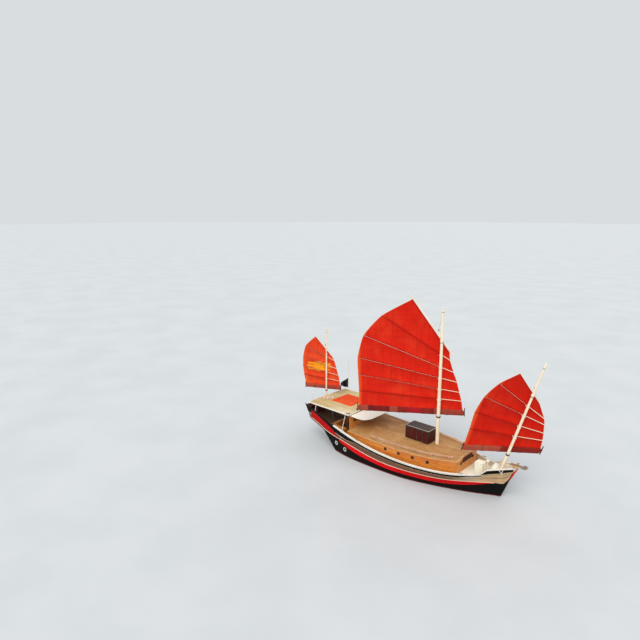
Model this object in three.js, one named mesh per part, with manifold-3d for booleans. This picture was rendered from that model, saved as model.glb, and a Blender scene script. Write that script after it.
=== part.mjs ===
// Three-masted sailing junk, decked hull with motor, afloat.
// Millimetres. X forward, Y to port, Z up. Z = 0 is the waterline, X = 0 lies
// 7 m aft of the stem at the waterline, Y = 0 is the centreline.
import * as THREE from 'three';
import { mergeVertices } from 'three/addons/utils/BufferGeometryUtils.js';
import Module from 'manifold-3d';

const wasm = await Module();
wasm.setup();

// Driving dimensions
const SEAT = 0.4;                // gap between a piece and what it rests on
const DEG = Math.PI / 180;

const BOW_END = 7960;
const BLACK_TRANSOM = { xWater: -6500, rise: 1.086 };   // raked transom of the main hull
const HULL_AFT = -7950;
const STERN = { xLow: -9640, zLow: 1940, rake: 0.543, thickness: 50, topZ: 3120 };
const FORECASTLE_STEP = 6000;
const BULWARK = { thickness: 60, sideDeckDrop: 280, cockpitZ: 1520 };
const CAP_RAIL = { height: 70, overhang: 45, aftX: -6600 };
const WALE_PROUD = 38;
const WING_THICKNESS = 30;
const POOP_DECK = { aftX: -9700, foreX: -7600, thickness: 80, rise: 0.26 };
const KEEL = { width: 180, foreX: 5300, aftX: -5350, bottomZ: -1500 };

const HOUSE = { aftX: -5204.6, foreX: 4250, wall: 50, slab: 60, crown: 230, eave: 45 };
const BULKHEAD = { x: -5255, thickness: 50, halfWidth: 2318, topZ: 3429.6 };
const DOOR = { width: 430, height: 820, sillZ: 2470, thickness: 30, stand: 17, pin: 16.3 };
const RED_FRONT = { halfWidth: 700, zLow: 1900, height: 400, thickness: 40, stand: 9, pin: 8.3 };

const ROOF = { aftX: -9840, foreX: -5190, halfWidth: 2470, topZ: 3490, thickness: 60, crown: 45 };
const ROOF_POST = { size: 70, places: [-8930, -7050, -5390], inset: 110, beam: 90 };
const PAD = { aftX: -8620, foreX: -6330, starboardY: -900, portY: 1420, height: 55 };
const AWNING = { foreX: -3600, halfWidth: 2330, corner: 1150, thickness: 20, z: 3372, drop: 105 };
const HOOP_RADIUS = 19;

// Masts: datum on the mast's axis, rake forward and swing of the sail in degrees; foot, top and the
// rings that carry boom and yard are heights along the axis above the datum.
const MAIN = {
  x: 1680, z: 0, rake: 0, swing: 35, foot: 2310, top: 13110,
  radius: 138, topRadius: 82, boomBand: 4560, yardBand: 10500,
};
const FORE = {
  x: 7040, z: 2510, rake: 16.6, swing: 35, foot: -650, top: 8190,
  radius: 105, topRadius: 60, boomBand: 830, yardBand: 5700,
};
const MIZZEN = {
  x: -10000, z: 0, rake: 0, swing: 27, foot: 3002.4, top: 9760,
  radius: 72, topRadius: 46, boomBand: 3905, yardBand: 7640,
};
const CLOTH = 20;                // thickness of a sail with its seams
const BATTEN = { width: 44, depth: 26, step: 3 };

const RUDDER = {
  x: -7180, stockRadius: 60, trunkRadius: 72, flangeRadius: 115,
  bladeTop: -60, bladeBottom: -1480, thickness: 90,
};
const SHAFT = { z: -900, radius: 34, bore: 34.9, foreX: -4730, aftX: -6560 };
const PROPELLER = { radius: 330, hubRadius: 75, hubLength: 150, blades: 4, bladeHalf: 9, pitch: 52 };
const HELM = { x: -6350, z: 2330, radius: 380, rim: 20 };

// Lines of the hull at each station
// [x, z of bottom, half breadth at bottom, at waterline, at rail, z of rail, wale low z, wale high z]
const LINES = [
  [-10340, 900, 1400, 2300, 2400, 3230, 2300, 2500],
  [-9200, 300, 1500, 2350, 2520, 2930, 2000, 2200],
  [-7950, -400, 60, 2420, 2690, 2620, 1500, 1800],
  [-6500, -780, 60, 2600, 2850, 2310, 1230, 1480],
  [-5300, -930, 60, 2820, 2930, 2040, 960, 1300],
  [-4000, -1040, 60, 2900, 2990, 1800, 680, 1110],
  [-2500, -1110, 60, 2890, 3010, 1590, 500, 890],
  [-1000, -1140, 60, 2810, 3010, 1480, 400, 790],
  [500, -1130, 60, 2620, 2960, 1440, 420, 805],
  [1800, -1090, 60, 2260, 2830, 1450, 420, 840],
  [3000, -1020, 60, 1850, 2560, 1465, 450, 875],
  [4000, -930, 60, 1460, 2210, 1500, 540, 940],
  [5000, -800, 60, 1040, 1720, 1590, 700, 1030],
  [5950, -560, 60, 560, 1210, 1770, 930, 1110],
  [6600, -260, 55, 200, 920, 2215, 1100, 1150],
  [7000, 0, 50, 50, 760, 2320, 1150, 1160],
  [7260, 660, 55, 55, 660, 2390, 1150, 1160],
  [7530, 1400, 80, 80, 560, 2465, 1500, 1510],
  [7800, 2010, 280, 280, 470, 2545, 2100, 2110],
  [7960, 2370, 400, 400, 425, 2600, 2380, 2390],
];
const COLUMN = { zBottom: 1, bBottom: 2, bWater: 3, bRail: 4, zRail: 5, waleLow: 6, waleHigh: 7 };
const WALE_ENDS = [-5900, 6700];

// Half breadth and top height of the deckhouse
// [x, half breadth of the outer face, z of the top at the edge]
const HOUSE_LINES = [
  [-5204.6, 2590, 2190], [-3600, 2600, 2140], [-2000, 2600, 2110], [-400, 2560, 2105],
  [1000, 2440, 2115], [2200, 2210, 2140], [3300, 1860, 2175], [4250, 1510, 2215],
];

// Planks of the bow rail ramp up from the main rail
const RAMP = { foot: 5950, head: 6330, headZ: 2140 };

// Sail outlines on the sail's own plane, s forward of the mast axis and t above the mast's foot
// datum, from clew up the leech to the peak and down the luff to the tack.
const MAIN_SAIL = {
  outline: [[-6090, 5085], [-6060, 5500], [-6150, 6700], [-6240, 8050], [-6270, 8980], [-5840, 10720],
    [-4490, 12310], [-2330, 13500], [500, 9900], [680, 9090], [980, 8090], [1280, 7220], [1630, 6130],
    [1800, 5085]],
  battens: [[[-4490, 12270], [700, 8960]], [[-5840, 10700], [985, 8050]], [[-6260, 8930], [1280, 7290]],
    [[-6200, 7560], [1490, 6490]], [[-6110, 6250], [1690, 5800]]],
  foot: { aft: -6180, fore: 1930, high: 5083 },
  boom: { aft: -6330, fore: 2010, z: 4700, radius: 48, slope: 0 },
  yard: { low: [860, 9420], high: [-2330, 13850], radius: 84 },
  side: 330,
};
const FORE_SAIL = {
  outline: [[-2980, 840], [-2990, 1890], [-3080, 3260], [-2840, 4620], [-2230, 5870], [-1270, 6800],
    [640, 5210], [1270, 4330], [1560, 3730], [1750, 3100], [1900, 2520], [1990, 2060]],
  battens: [[[-2230, 5840], [1390, 4150]], [[-2840, 4620], [1560, 3720]], [[-3080, 3260], [1740, 3090]],
    [[-3010, 1890], [1880, 2520]]],
  foot: { aft: -3010, fore: 2060, high: 835 },
  boom: { aft: -3090, fore: 2170, z: 450, radius: 40, slope: 0.243 },
  yard: { low: [760, 5170], high: [-1390, 7140], radius: 46 },
  side: 255,
};
const MIZZEN_SAIL = {
  outline: [[-1990, 4370], [-2060, 4560], [-2200, 5270], [-2310, 6220], [-2260, 7100], [-2000, 8000],
    [-1120, 8820], [470, 7300], [790, 6310], [1060, 5420], [1240, 4560], [1250, 4370]],
  battens: [[[-2010, 7970], [660, 6720]], [[-2270, 6960], [880, 5980]], [[-2290, 6050], [1060, 5370]],
    [[-2190, 5200], [1180, 4850]]],
  foot: { aft: -2000, fore: 1290, high: 4368 },
  boom: { aft: -2070, fore: 1330, z: 4035, radius: 32, slope: 0 },
  yard: { low: [470, 7180], high: [-1190, 9080], radius: 40 },
  side: 200,
};

const COLOURS = {
  black: [0x17150f, 0.55, 0], wale: [0xc4160f, 0.45, 0], white: [0xe9e4d2, 0.5, 0],
  cream: [0xe3dcc0, 0.6, 0], varnish: [0xc8752a, 0.35, 0], deck: [0xb58f5a, 0.7, 0],
  maroon: [0x5a1c1a, 0.7, 0], sail: [0xd8261a, 0.85, 0], orange: [0xdc4a1c, 0.8, 0],
  cloth: [0xeeeade, 0.9, 0], flag: [0x16161a, 0.9, 0], bronze: [0x8d6b35, 0.4, 0.9],
  steel: [0xb9bcbd, 0.35, 0.9], darkWood: [0x3b2317, 0.6, 0], tan: [0xbb9766, 0.7, 0],
  galvanised: [0x8c8f90, 0.5, 0.8],
};

// Geometry helpers

function lerp(a, b, t) {
  return a + (b - a) * t;
}

// Value of one column of a table at x, straight between its rows.
function column(table, index, x) {
  const last = table.length - 1;
  if (x <= table[0][0]) return table[0][index];
  if (x >= table[last][0]) return table[last][index];
  const row = table.findIndex((entry) => entry[0] > x);
  const [low, high] = [table[row - 1], table[row]];
  return lerp(low[index], high[index], (x - low[0]) / (high[0] - low[0]));
}

// The same value on a smooth curve through the rows.
function smoothColumn(table, index, x) {
  const row = Math.min(Math.max(table.findIndex((entry) => entry[0] > x), 1), table.length - 1);
  const [x1, x2] = [table[row - 1][0], table[row][0]];
  const [y1, y2] = [table[row - 1][index], table[row][index]];
  const slope = (i) => {
    const before = table[Math.max(i - 1, 0)];
    const after = table[Math.min(i + 1, table.length - 1)];
    return (after[index] - before[index]) / (after[0] - before[0]);
  };
  const span = x2 - x1;
  const t = (x - x1) / span;
  const [m1, m2] = [slope(row - 1) * span, slope(row) * span];
  return (2 * t ** 3 - 3 * t ** 2 + 1) * y1 + (t ** 3 - 2 * t ** 2 + t) * m1
    + (3 * t ** 2 - 2 * t ** 3) * y2 + (t ** 3 - t ** 2) * m2;
}

// Stations of the finished hull: the table's rows with the smooth curve between them.
const STATION_STEP = 450;
function fairedLines() {
  const rows = [];
  for (let i = 0; i < LINES.length - 1; i += 1) {
    const [x1, x2] = [LINES[i][0], LINES[i + 1][0]];
    const parts = Math.max(1, Math.round((x2 - x1) / STATION_STEP));
    for (let part = 0; part < parts; part += 1) {
      const x = lerp(x1, x2, part / parts);
      const smooth = x > -7950 && x < 5950;
      const value = smooth ? smoothColumn : column;
      rows.push([x, ...Object.values(COLUMN).map((index) => value(LINES, index, x))]);
    }
  }
  rows.push(LINES[LINES.length - 1].slice());
  for (const x of [...WALE_ENDS, HOUSE.foreX, CAP_RAIL.aftX, RAMP.head,
    FORECASTLE_STEP - 1, FORECASTLE_STEP]) {
    if (!rows.some((row) => row[0] === x)) {
      rows.push([x, ...Object.values(COLUMN).map((index) => column(rows, index, x))]);
      rows.sort((a, b) => a[0] - b[0]);
    }
  }
  return rows;
}
const FAIRED = fairedLines();
const STATIONS = FAIRED.map((row) => row[0]);

function railZ(x) {
  if (x > RAMP.foot && x < RAMP.head) {
    const start = column(FAIRED, COLUMN.zRail, RAMP.foot);
    return lerp(start, RAMP.headZ, (x - RAMP.foot) / (RAMP.head - RAMP.foot));
  }
  if (x >= RAMP.head && x < 6600) return lerp(RAMP.headZ, 2215, (x - RAMP.head) / (6600 - RAMP.head));
  return column(FAIRED, COLUMN.zRail, x);
}

function railY(x) {
  return column(FAIRED, COLUMN.bRail, x);
}

// Height of the hull's deck at its edge.
const FORECASTLE_DECK = [[6000, 1730], [7400, 2150], [7960, 2372]];
function deckZ(x) {
  if (x >= FORECASTLE_STEP) return column(FORECASTLE_DECK, 1, x);
  return Math.min(railZ(x) - BULWARK.sideDeckDrop, BULWARK.cockpitZ);
}

// Half breadth of the hull's skin at a station and height.
function skinY(x, z) {
  const bottom = column(FAIRED, COLUMN.zBottom, x);
  const bBottom = column(FAIRED, COLUMN.bBottom, x);
  const bWater = column(FAIRED, COLUMN.bWater, x);
  if (z < 0 && bottom < 0) {
    const depth = Math.min(z / bottom, 1);
    return bBottom + (bWater - bBottom) * (1 - depth ** 2.4) ** 0.62;
  }
  const low = Math.max(bottom, 0);
  const rise = Math.max(0, (z - low) / (railZ(x) - low));
  const start = bottom < 0 ? bWater : bBottom;
  return start + (railY(x) - start) * rise ** 0.85;
}

function stationsBetween(x1, x2) {
  return [x1, ...STATIONS.filter((x) => x > x1 + 1 && x < x2 - 1), x2];
}

function indexed(geometry) {
  const bare = geometry.clone();
  bare.deleteAttribute('normal');
  bare.deleteAttribute('uv');
  return mergeVertices(bare, 1e-3);
}

function solid(geometry) {
  const merged = indexed(geometry);
  return new wasm.Manifold(new wasm.Mesh({
    numProp: 3,
    vertProperties: new Float32Array(merged.attributes.position.array),
    triVerts: new Uint32Array(merged.index.array),
  }));
}

function geometryOf(body) {
  const mesh = body.getMesh();
  const geometry = new THREE.BufferGeometry();
  geometry.setAttribute('position', new THREE.BufferAttribute(new Float32Array(mesh.vertProperties), 3));
  geometry.setIndex(new THREE.BufferAttribute(new Uint32Array(mesh.triVerts), 1));
  geometry.computeVertexNormals();
  return geometry;
}

function join(...geometries) {
  return geometryOf(geometries.map(solid).reduce((sum, next) => sum.add(next)));
}

function cut(geometry, ...tools) {
  return geometryOf(tools.map(solid).reduce((rest, tool) => rest.subtract(tool), solid(geometry)));
}

// Triangles of a flat end ring, wound like the ring.
function capTriangles(ring) {
  const normal = new THREE.Vector3();
  ring.forEach((p, i) => {
    const q = ring[(i + 1) % ring.length];
    normal.x += (p[1] - q[1]) * (p[2] + q[2]);
    normal.y += (p[2] - q[2]) * (p[0] + q[0]);
    normal.z += (p[0] - q[0]) * (p[1] + q[1]);
  });
  const size = [Math.abs(normal.x), Math.abs(normal.y), Math.abs(normal.z)];
  const drop = size.indexOf(Math.max(...size));
  const [u, v] = [[1, 2], [2, 0], [0, 1]][drop];
  const flat = ring.map((p) => new THREE.Vector2(p[u], p[v]));
  const wanted = Math.sign(normal.getComponent(drop));
  return THREE.ShapeUtils.triangulateShape(flat, []).map(([a, b, c]) => {
    const area = (flat[b].x - flat[a].x) * (flat[c].y - flat[a].y)
      - (flat[c].x - flat[a].x) * (flat[b].y - flat[a].y);
    return Math.sign(area) === wanted ? [a, b, c] : [a, c, b];
  });
}

// Closed body through rings of equal count; each ring is a closed loop of [x, y, z].
function loft(rings) {
  const count = rings[0].length;
  const triangles = [];
  for (let i = 0; i < rings.length - 1; i += 1) {
    for (let j = 0; j < count; j += 1) {
      const next = (j + 1) % count;
      const [a, b] = [i * count + j, i * count + next];
      const [c, d] = [a + count, b + count];
      triangles.push([a, b, d], [a, d, c]);
    }
  }
  const last = (rings.length - 1) * count;
  capTriangles(rings[0]).forEach(([a, b, c]) => triangles.push([a, c, b]));
  capTriangles(rings[rings.length - 1]).forEach((abc) => triangles.push(abc.map((i) => last + i)));
  const points = rings.flat();
  let volume = 0;
  triangles.forEach(([a, b, c]) => {
    const [p, q, r] = [points[a], points[b], points[c]];
    volume += p[0] * (q[1] * r[2] - q[2] * r[1]) + p[1] * (q[2] * r[0] - q[0] * r[2])
      + p[2] * (q[0] * r[1] - q[1] * r[0]);
  });
  const geometry = new THREE.BufferGeometry();
  geometry.setAttribute('position', new THREE.Float32BufferAttribute(points.flat(), 3));
  geometry.setIndex(triangles.flatMap(([a, b, c]) => (volume > 0 ? [a, b, c] : [a, c, b])));
  geometry.computeVertexNormals();
  return geometry;
}

function box(x1, x2, y1, y2, z1, z2) {
  const geometry = new THREE.BoxGeometry(x2 - x1, y2 - y1, z2 - z1);
  geometry.translate((x1 + x2) / 2, (y1 + y2) / 2, (z1 + z2) / 2);
  return geometry;
}

// Round bar or cone along +Z from z1 to z2.
function bar(radius1, radius2, z1, z2, sides = 16) {
  const geometry = new THREE.CylinderGeometry(radius2, radius1, z2 - z1, sides);
  geometry.rotateX(Math.PI / 2);
  geometry.translate(0, 0, (z1 + z2) / 2);
  return geometry;
}

// Round bar between two points.
function rod(from, to, radius1, radius2 = radius1, sides = 12) {
  const [a, b] = [new THREE.Vector3(...from), new THREE.Vector3(...to)];
  const geometry = bar(radius1, radius2, 0, a.distanceTo(b), sides);
  const along = b.clone().sub(a).normalize();
  const turn = new THREE.Quaternion().setFromUnitVectors(new THREE.Vector3(0, 0, 1), along);
  geometry.applyQuaternion(turn);
  geometry.translate(a.x, a.y, a.z);
  return geometry;
}

function lathe(profile, sides = 24) {
  const geometry = new THREE.LatheGeometry(profile.map(([r, z]) => new THREE.Vector2(r, z)), sides);
  geometry.rotateX(Math.PI / 2);
  return geometryOf(solid(geometry));
}

// Ring about Z.
function ring(inner, outer, z1, z2, sides = 32) {
  return cut(bar(outer, outer, z1, z2, sides), bar(inner, inner, z1 - 1, z2 + 1, sides));
}

// Tube of round section along a smooth path.
function tube(points, radius, steps, sides = 10) {
  const section = new THREE.Shape();
  section.absarc(0, 0, radius, 0, Math.PI * 2);
  const path = new THREE.CatmullRomCurve3(points.map((p) => new THREE.Vector3(...p)), false, 'centripetal');
  const options = { steps, extrudePath: path, curveSegments: sides, bevelEnabled: false };
  return new THREE.ExtrudeGeometry(section, options);
}

// Flat plate: an outline in the X-Z plane, thick along Y from y1 to y2.
function plateXZ(outline, y1, y2) {
  const shape = new THREE.Shape(outline.map(([x, z]) => new THREE.Vector2(x, z)));
  const geometry = new THREE.ExtrudeGeometry(shape, { depth: y2 - y1, bevelEnabled: false });
  geometry.rotateX(Math.PI / 2);
  geometry.translate(0, y2, 0);
  return geometry;
}

// Flat plate: an outline in the X-Y plane, thick along Z from z1 to z2.
function plateXY(shape, z1, z2, curveSegments = 6) {
  const geometry = new THREE.ExtrudeGeometry(shape, { depth: z2 - z1, bevelEnabled: false, curveSegments });
  geometry.translate(0, 0, z1);
  return geometry;
}

const model = new THREE.Group();

function piece(name, geometry, colour, parent = model) {
  const [hex, roughness, metalness] = COLOURS[colour];
  const material = new THREE.MeshStandardMaterial({ color: hex, roughness, metalness });
  const mesh = new THREE.Mesh(indexed(geometry), material);
  mesh.name = name;
  parent.add(mesh);
  return mesh;
}

const SIDES = [['starboard', -1], ['port', 1]];

// Hull

const BELOW = [0.999, 0.9, 0.72, 0.5, 0.25];     // share of the depth under the waterline
function hullGeometry(offset, x1, x2, topZ) {
  const rings = stationsBetween(x1, x2).map((x) => {
    const bottom = column(FAIRED, COLUMN.zBottom, x);
    const top = topZ(x);
    const low = Math.max(bottom, 0);
    const waleLow = Math.max(column(FAIRED, COLUMN.waleLow, x), low + 2);
    const waleHigh = Math.max(column(FAIRED, COLUMN.waleHigh, x), low + 4);
    const between = (t) => lerp(low, top, t);
    const above = x < WALE_ENDS[0] || x > WALE_ENDS[1]
      ? [low + 0.5, between(0.3), between(0.6), between(0.8), top]
      : [low + 0.5, waleLow, waleHigh, lerp(waleHigh, top, 0.5), top];
    const under = BELOW.map((share) => (bottom < 0 ? bottom * share : low + 0.1 * (1 - share)));
    const half = [...under, ...above].map((z) => [skinY(x, z) + offset, z]);
    const port = half.map(([y, z]) => [x, y, z]);
    const starboard = half.slice().reverse().map(([y, z]) => [x, -y, z]);
    return [...port, ...starboard];
  });
  return loft(rings);
}

function transomWedge() {
  const { xWater, rise } = BLACK_TRANSOM;
  const [zLow, zHigh] = [-2000, 2600];
  const edge = (z) => xWater - z / rise;
  return plateXZ([[edge(zLow), zLow], [edge(zHigh), zHigh], [-12000, zHigh], [-12000, zLow]], -4000, 4000);
}

const rudderTrunk = bar(RUDDER.trunkRadius, RUDDER.trunkRadius, 0, 2000, 20);
rudderTrunk.translate(RUDDER.x, 0, 0);
const shaftBore = rod([SHAFT.aftX, 0, SHAFT.z], [SHAFT.foreX + 40, 0, SHAFT.z], SHAFT.bore, SHAFT.bore, 24);
const hullBody = hullGeometry(0, HULL_AFT, BOW_END, deckZ);
piece('hull', cut(hullBody, transomWedge(), rudderTrunk, shaftBore), 'black');

const keelOutline = [
  [KEEL.foreX, -760], [KEEL.foreX - 900, KEEL.bottomZ + 60], [KEEL.foreX - 1500, KEEL.bottomZ],
  [KEEL.aftX, KEEL.bottomZ], [KEEL.aftX, -600],
];
// The hull widened by the seat gap, in place and lowered by it, cuts the keel's top.
const keelTop = hullGeometry(SEAT, -7900, 6500, deckZ);
const keelTopLowered = keelTop.clone();
keelTopLowered.translate(0, 0, -SEAT);
const keelPlate = plateXZ(keelOutline, -KEEL.width / 2, KEEL.width / 2);
piece('keel', cut(keelPlate, keelTop, keelTopLowered, shaftBore), 'black');

for (const [side, sign] of SIDES) {
  const rings = stationsBetween(...WALE_ENDS).map((x) => {
    const [low, high] = [column(FAIRED, COLUMN.waleLow, x), column(FAIRED, COLUMN.waleHigh, x)];
    const [yLow, yHigh] = [skinY(x, low), skinY(x, high)];
    const face = WALE_PROUD;
    return [[x, sign * (yLow - 60), low], [x, sign * (yLow + face), low + 4],
      [x, sign * (yHigh + face), high - 4], [x, sign * (yHigh - 60), high]];
  });
  const wale = cut(loft(rings), hullGeometry(SEAT, HULL_AFT, BOW_END, deckZ));
  piece(`wale_${side}`, wale, 'wale');
}

// Poop: the deck slab that overhangs the transom and the boards around it

function poopUnderside(x) {
  return BULWARK.cockpitZ + SEAT + Math.max(0, POOP_DECK.foreX - x) * POOP_DECK.rise;
}

function sternX(z) {
  return STERN.xLow - (z - STERN.zLow) * STERN.rake;
}

const sternTool = plateXZ([[sternX(500), 500], [sternX(4500), 4500], [-13000, 4500], [-13000, 500]],
  -4000, 4000);

function bulwarkLow(x) {
  return x < HULL_AFT + 1 ? poopUnderside(x) - 60 : deckZ(x) + SEAT;
}

function bulwarkOutside(x) {
  const low = bulwarkLow(x);
  return x < HULL_AFT ? railY(x) - (railZ(x) - low) * 0.06 : skinY(x, low);
}

const bulwarkStations = [...new Set([...stationsBetween(-10340, FORECASTLE_STEP - 1),
  POOP_DECK.foreX, HULL_AFT, HULL_AFT + 1])].sort((a, b) => a - b);

// One bulwark, grown by a gap on its faces where it cuts what stands against it.
function bulwarkBody(sign, grow) {
  return loft(bulwarkStations.map((x) => {
    const [low, high] = [bulwarkLow(x) - grow, railZ(x) + grow];
    const [yLow, yHigh] = [bulwarkOutside(x) + grow, railY(x) + grow];
    const depth = BULWARK.thickness + 2 * grow;
    return [[x, sign * yLow, low], [x, sign * yHigh, high], [x, sign * (yHigh - depth), high],
      [x, sign * (yLow - depth), low]];
  }));
}

for (const [side, sign] of SIDES) {
  piece(`bulwark_${side}`, cut(bulwarkBody(sign, 0), sternTool), 'black');
}
const bulwarkTools = SIDES.map(([, sign]) => bulwarkBody(sign, SEAT));
const hullTool = hullGeometry(SEAT, HULL_AFT, BOW_END, (x) => deckZ(x) + SEAT);
// Depth by which a piece reaches into the tool that fits it to its neighbour.
const LAP = 15;

// A strake on both sides of the bow, closed across the stem
const bowSides = SIDES.map(([, sign]) => loft(stationsBetween(FORECASTLE_STEP + 1, BOW_END - 40).map((x) => {
  const low = deckZ(x) + SEAT;
  const [yLow, yHigh] = [skinY(x, low), railY(x)];
  return [[x, sign * yLow, low], [x, sign * yHigh, railZ(x)],
    [x, sign * (yHigh - BULWARK.thickness), railZ(x)], [x, sign * (yLow - BULWARK.thickness), low]];
})));
const bowEndHalf = railY(BOW_END) - 12;
const bowClosed = box(BOW_END - 100, BOW_END - 40, -bowEndHalf, bowEndHalf, deckZ(BOW_END) + SEAT + 1,
  railZ(BOW_END - 100) - 1);
piece('bow_bulwark', join(...bowSides, bowClosed), 'black');

const capSides = SIDES.map(([, sign]) => loft(stationsBetween(CAP_RAIL.aftX, BOW_END).map((x) => {
  const [z, y] = [railZ(x) + SEAT, railY(x)];
  const inner = y - BULWARK.thickness - CAP_RAIL.overhang;
  return [[x, sign * (y + CAP_RAIL.overhang), z], [x, sign * (y + CAP_RAIL.overhang), z + CAP_RAIL.height],
    [x, sign * inner, z + CAP_RAIL.height], [x, sign * inner, z]];
})));
const capFront = box(BOW_END - 90, BOW_END - 1, -railY(BOW_END), railY(BOW_END), railZ(BOW_END) + SEAT + 1,
  railZ(BOW_END - 90) + CAP_RAIL.height - 1);
piece('cap_rail', join(...capSides, capFront), 'white');

// Red board across the flat of the bow
const bowFace = (z) => lerp(7530, BOW_END, (z - 1400) / (2370 - 1400));
const bowBoardRings = [1480, 1800, 2100, 2370].map((z) => {
  const x = bowFace(z) + SEAT;
  const half = Math.max(skinY(x - 12, z + 12) - 12, 40);
  return [[x, -half, z], [x + 26, -half, z], [x + 26, half, z], [x, half, z]];
});
piece('bow_board', loft(bowBoardRings), 'maroon');

// Half breadth of the hull or bulwark outside at a station and height.
function outsideY(x, z) {
  const [low, high] = [bulwarkLow(x), railZ(x)];
  return z < low ? skinY(x, z) : lerp(bulwarkOutside(x), railY(x), Math.min((z - low) / (high - low), 1));
}

// Red wing panel on each stern quarter
// [x, low z, high z]
const WING_LINES = [
  [-9500, 2110, 2860], [-9060, 2050, 2780], [-8230, 1830, 2520], [-7330, 1550, 2215],
  [-6600, 1420, 1900], [-5950, 1320, 1400],
];
const wingStations = [...new Set([...stationsBetween(-9500, -5950), ...WING_LINES.map((row) => row[0]),
  ...bulwarkStations.filter((x) => x > -9500 && x < -5950)])].sort((a, b) => a - b);
for (const [side, sign] of SIDES) {
  const rings = wingStations.map((x) => {
    const [low, high] = [column(WING_LINES, 1, x), column(WING_LINES, 2, x)];
    const [inner, outer] = [outsideY(x, high) - LAP, outsideY(x, high) + WING_THICKNESS];
    return [[x, sign * inner, low], [x, sign * outer, low], [x, sign * outer, high], [x, sign * inner, high]];
  });
  piece(`wing_panel_${side}`, cut(loft(rings), ...bulwarkTools, hullTool), 'wale');
}

const poopStations = bulwarkStations.filter((x) => x >= POOP_DECK.aftX - 500 && x <= POOP_DECK.foreX);
const poopRings = poopStations.map((x) => {
  const low = poopUnderside(x);
  const high = low + POOP_DECK.thickness;
  const half = bulwarkOutside(x) - BULWARK.thickness + LAP;
  return [[x, -half, low], [x, half, low], [x, half, high], [x, -half, high]];
});
const poopStern = sternTool.clone();
poopStern.translate(STERN.thickness + SEAT, 0, 0);
piece('poop_deck', cut(loft(poopRings), poopStern, ...bulwarkTools), 'deck');

// Board across the stern with the beam that carries the mizzen mast
const sternBoardLow = poopUnderside(POOP_DECK.aftX) - 40;
const sternRings = [sternBoardLow, 2400, 2800, STERN.topZ].map((z) => {
  const x = sternX(z);
  const half = outsideY(x, z) - BULWARK.thickness + LAP;
  return [[x, -half, z], [x + STERN.thickness, -half, z], [x + STERN.thickness, half, z], [x, half, z]];
});
const beamHalf = outsideY(-10140, 2880) - BULWARK.thickness + LAP;
const beam = box(-10140, -9850, -beamHalf, beamHalf, 2880, MIZZEN.foot - SEAT);
piece('stern_board', cut(join(loft(sternRings), beam), ...bulwarkTools), 'maroon');

// Deckhouse

function houseY(x) {
  return column(HOUSE_LINES, 1, x);
}

function houseTop(x) {
  return column(HOUSE_LINES, 2, x);
}

function houseStations(x1, x2) {
  const xs = new Set([...stationsBetween(x1, x2), ...HOUSE_LINES.map((row) => row[0])]);
  return [...xs].filter((x) => x >= x1 && x <= x2).sort((a, b) => a - b);
}

for (const [side, sign] of SIDES) {
  const rings = houseStations(HOUSE.aftX, HOUSE.foreX - HOUSE.wall - 1).map((x) => {
    const [low, high] = [deckZ(x) + SEAT, houseTop(x) - HOUSE.slab - SEAT];
    const y = houseY(x);
    return [[x, sign * y, low], [x, sign * (y - 12), high],
      [x, sign * (y - 12 - HOUSE.wall), high], [x, sign * (y - HOUSE.wall), low]];
  });
  piece(`house_side_${side}`, loft(rings), 'varnish');
}

// Points [y, z] across the deckhouse deck, port to starboard, for the top or the underside.
function deckLine(x, half, drop) {
  const [top, crown] = [houseTop(x) - drop, HOUSE.crown];
  return [[half, 0], [half - 130, 0], [half * 0.62, 0.6], [260, 1], [-260, 1], [-half * 0.62, 0.6],
    [-half + 130, 0], [-half, 0]].map(([y, share]) => [y, top + crown * share]);
}

const slabStations = [...houseStations(HOUSE.aftX, HOUSE.foreX), HOUSE.foreX + HOUSE.eave];
const slabRings = slabStations.map((x) => {
  const half = houseY(x) + HOUSE.eave;
  return [...deckLine(x, half, 0), ...deckLine(x, half, HOUSE.slab).reverse()].map(([y, z]) => [x, y, z]);
});
piece('house_deck', loft(slabRings), 'deck');

// Front of the deckhouse, with the opening of its hatch and two corner posts
const frontX = HOUSE.foreX;
const frontLow = deckZ(frontX) + SEAT;
const frontHalf = houseY(frontX) - 12;
const frontPost = 90;
const postX = frontX - HOUSE.wall - frontPost;
const frontTop = deckLine(postX, houseY(frontX) + HOUSE.eave, HOUSE.slab + SEAT)
  .filter(([y]) => Math.abs(y) < frontHalf);
const frontEdgeZ = houseTop(postX) - HOUSE.slab - SEAT;
const frontLine = [[frontHalf, frontLow], [frontHalf, frontEdgeZ], ...frontTop, [-frontHalf, frontEdgeZ],
  [-frontHalf, frontLow]];
const frontWall = loft([frontX - HOUSE.wall, frontX].map((x) => frontLine.map(([y, z]) => [x, y, z])));
const frontOpening = box(frontX - 200, frontX + 10, -RED_FRONT.halfWidth + 60, RED_FRONT.halfWidth - 60,
  RED_FRONT.zLow + 60, RED_FRONT.zLow + RED_FRONT.height - 60);
const frontPosts = SIDES.map(([, sign]) => {
  const y = sign * (frontHalf - 120 - frontPost / 2);
  return box(postX, frontX - 10, y - frontPost / 2, y + frontPost / 2, frontLow, frontEdgeZ);
});
piece('house_front', join(cut(frontWall, frontOpening), ...frontPosts), 'varnish');

// Bulkhead between cockpit and deckhouse: a doorway with two leaves and a window on each side
const doorGap = DOOR.width - 30;
const bulkheadTool = (y1, y2, z1, z2) => box(BULKHEAD.x - 100, BULKHEAD.x + 200, y1, y2, z1, z2);
const bulkheadBody = cut(
  box(BULKHEAD.x, BULKHEAD.x + BULKHEAD.thickness, -BULKHEAD.halfWidth, BULKHEAD.halfWidth,
    BULWARK.cockpitZ + SEAT, BULKHEAD.topZ),
  bulkheadTool(-doorGap, doorGap, DOOR.sillZ + 30, DOOR.sillZ + DOOR.height - 30),
  bulkheadTool(-1850, -850, 2720, 3180),
  bulkheadTool(850, 1850, 2720, 3180),
);
piece('cabin_bulkhead', bulkheadBody, 'varnish');

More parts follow.
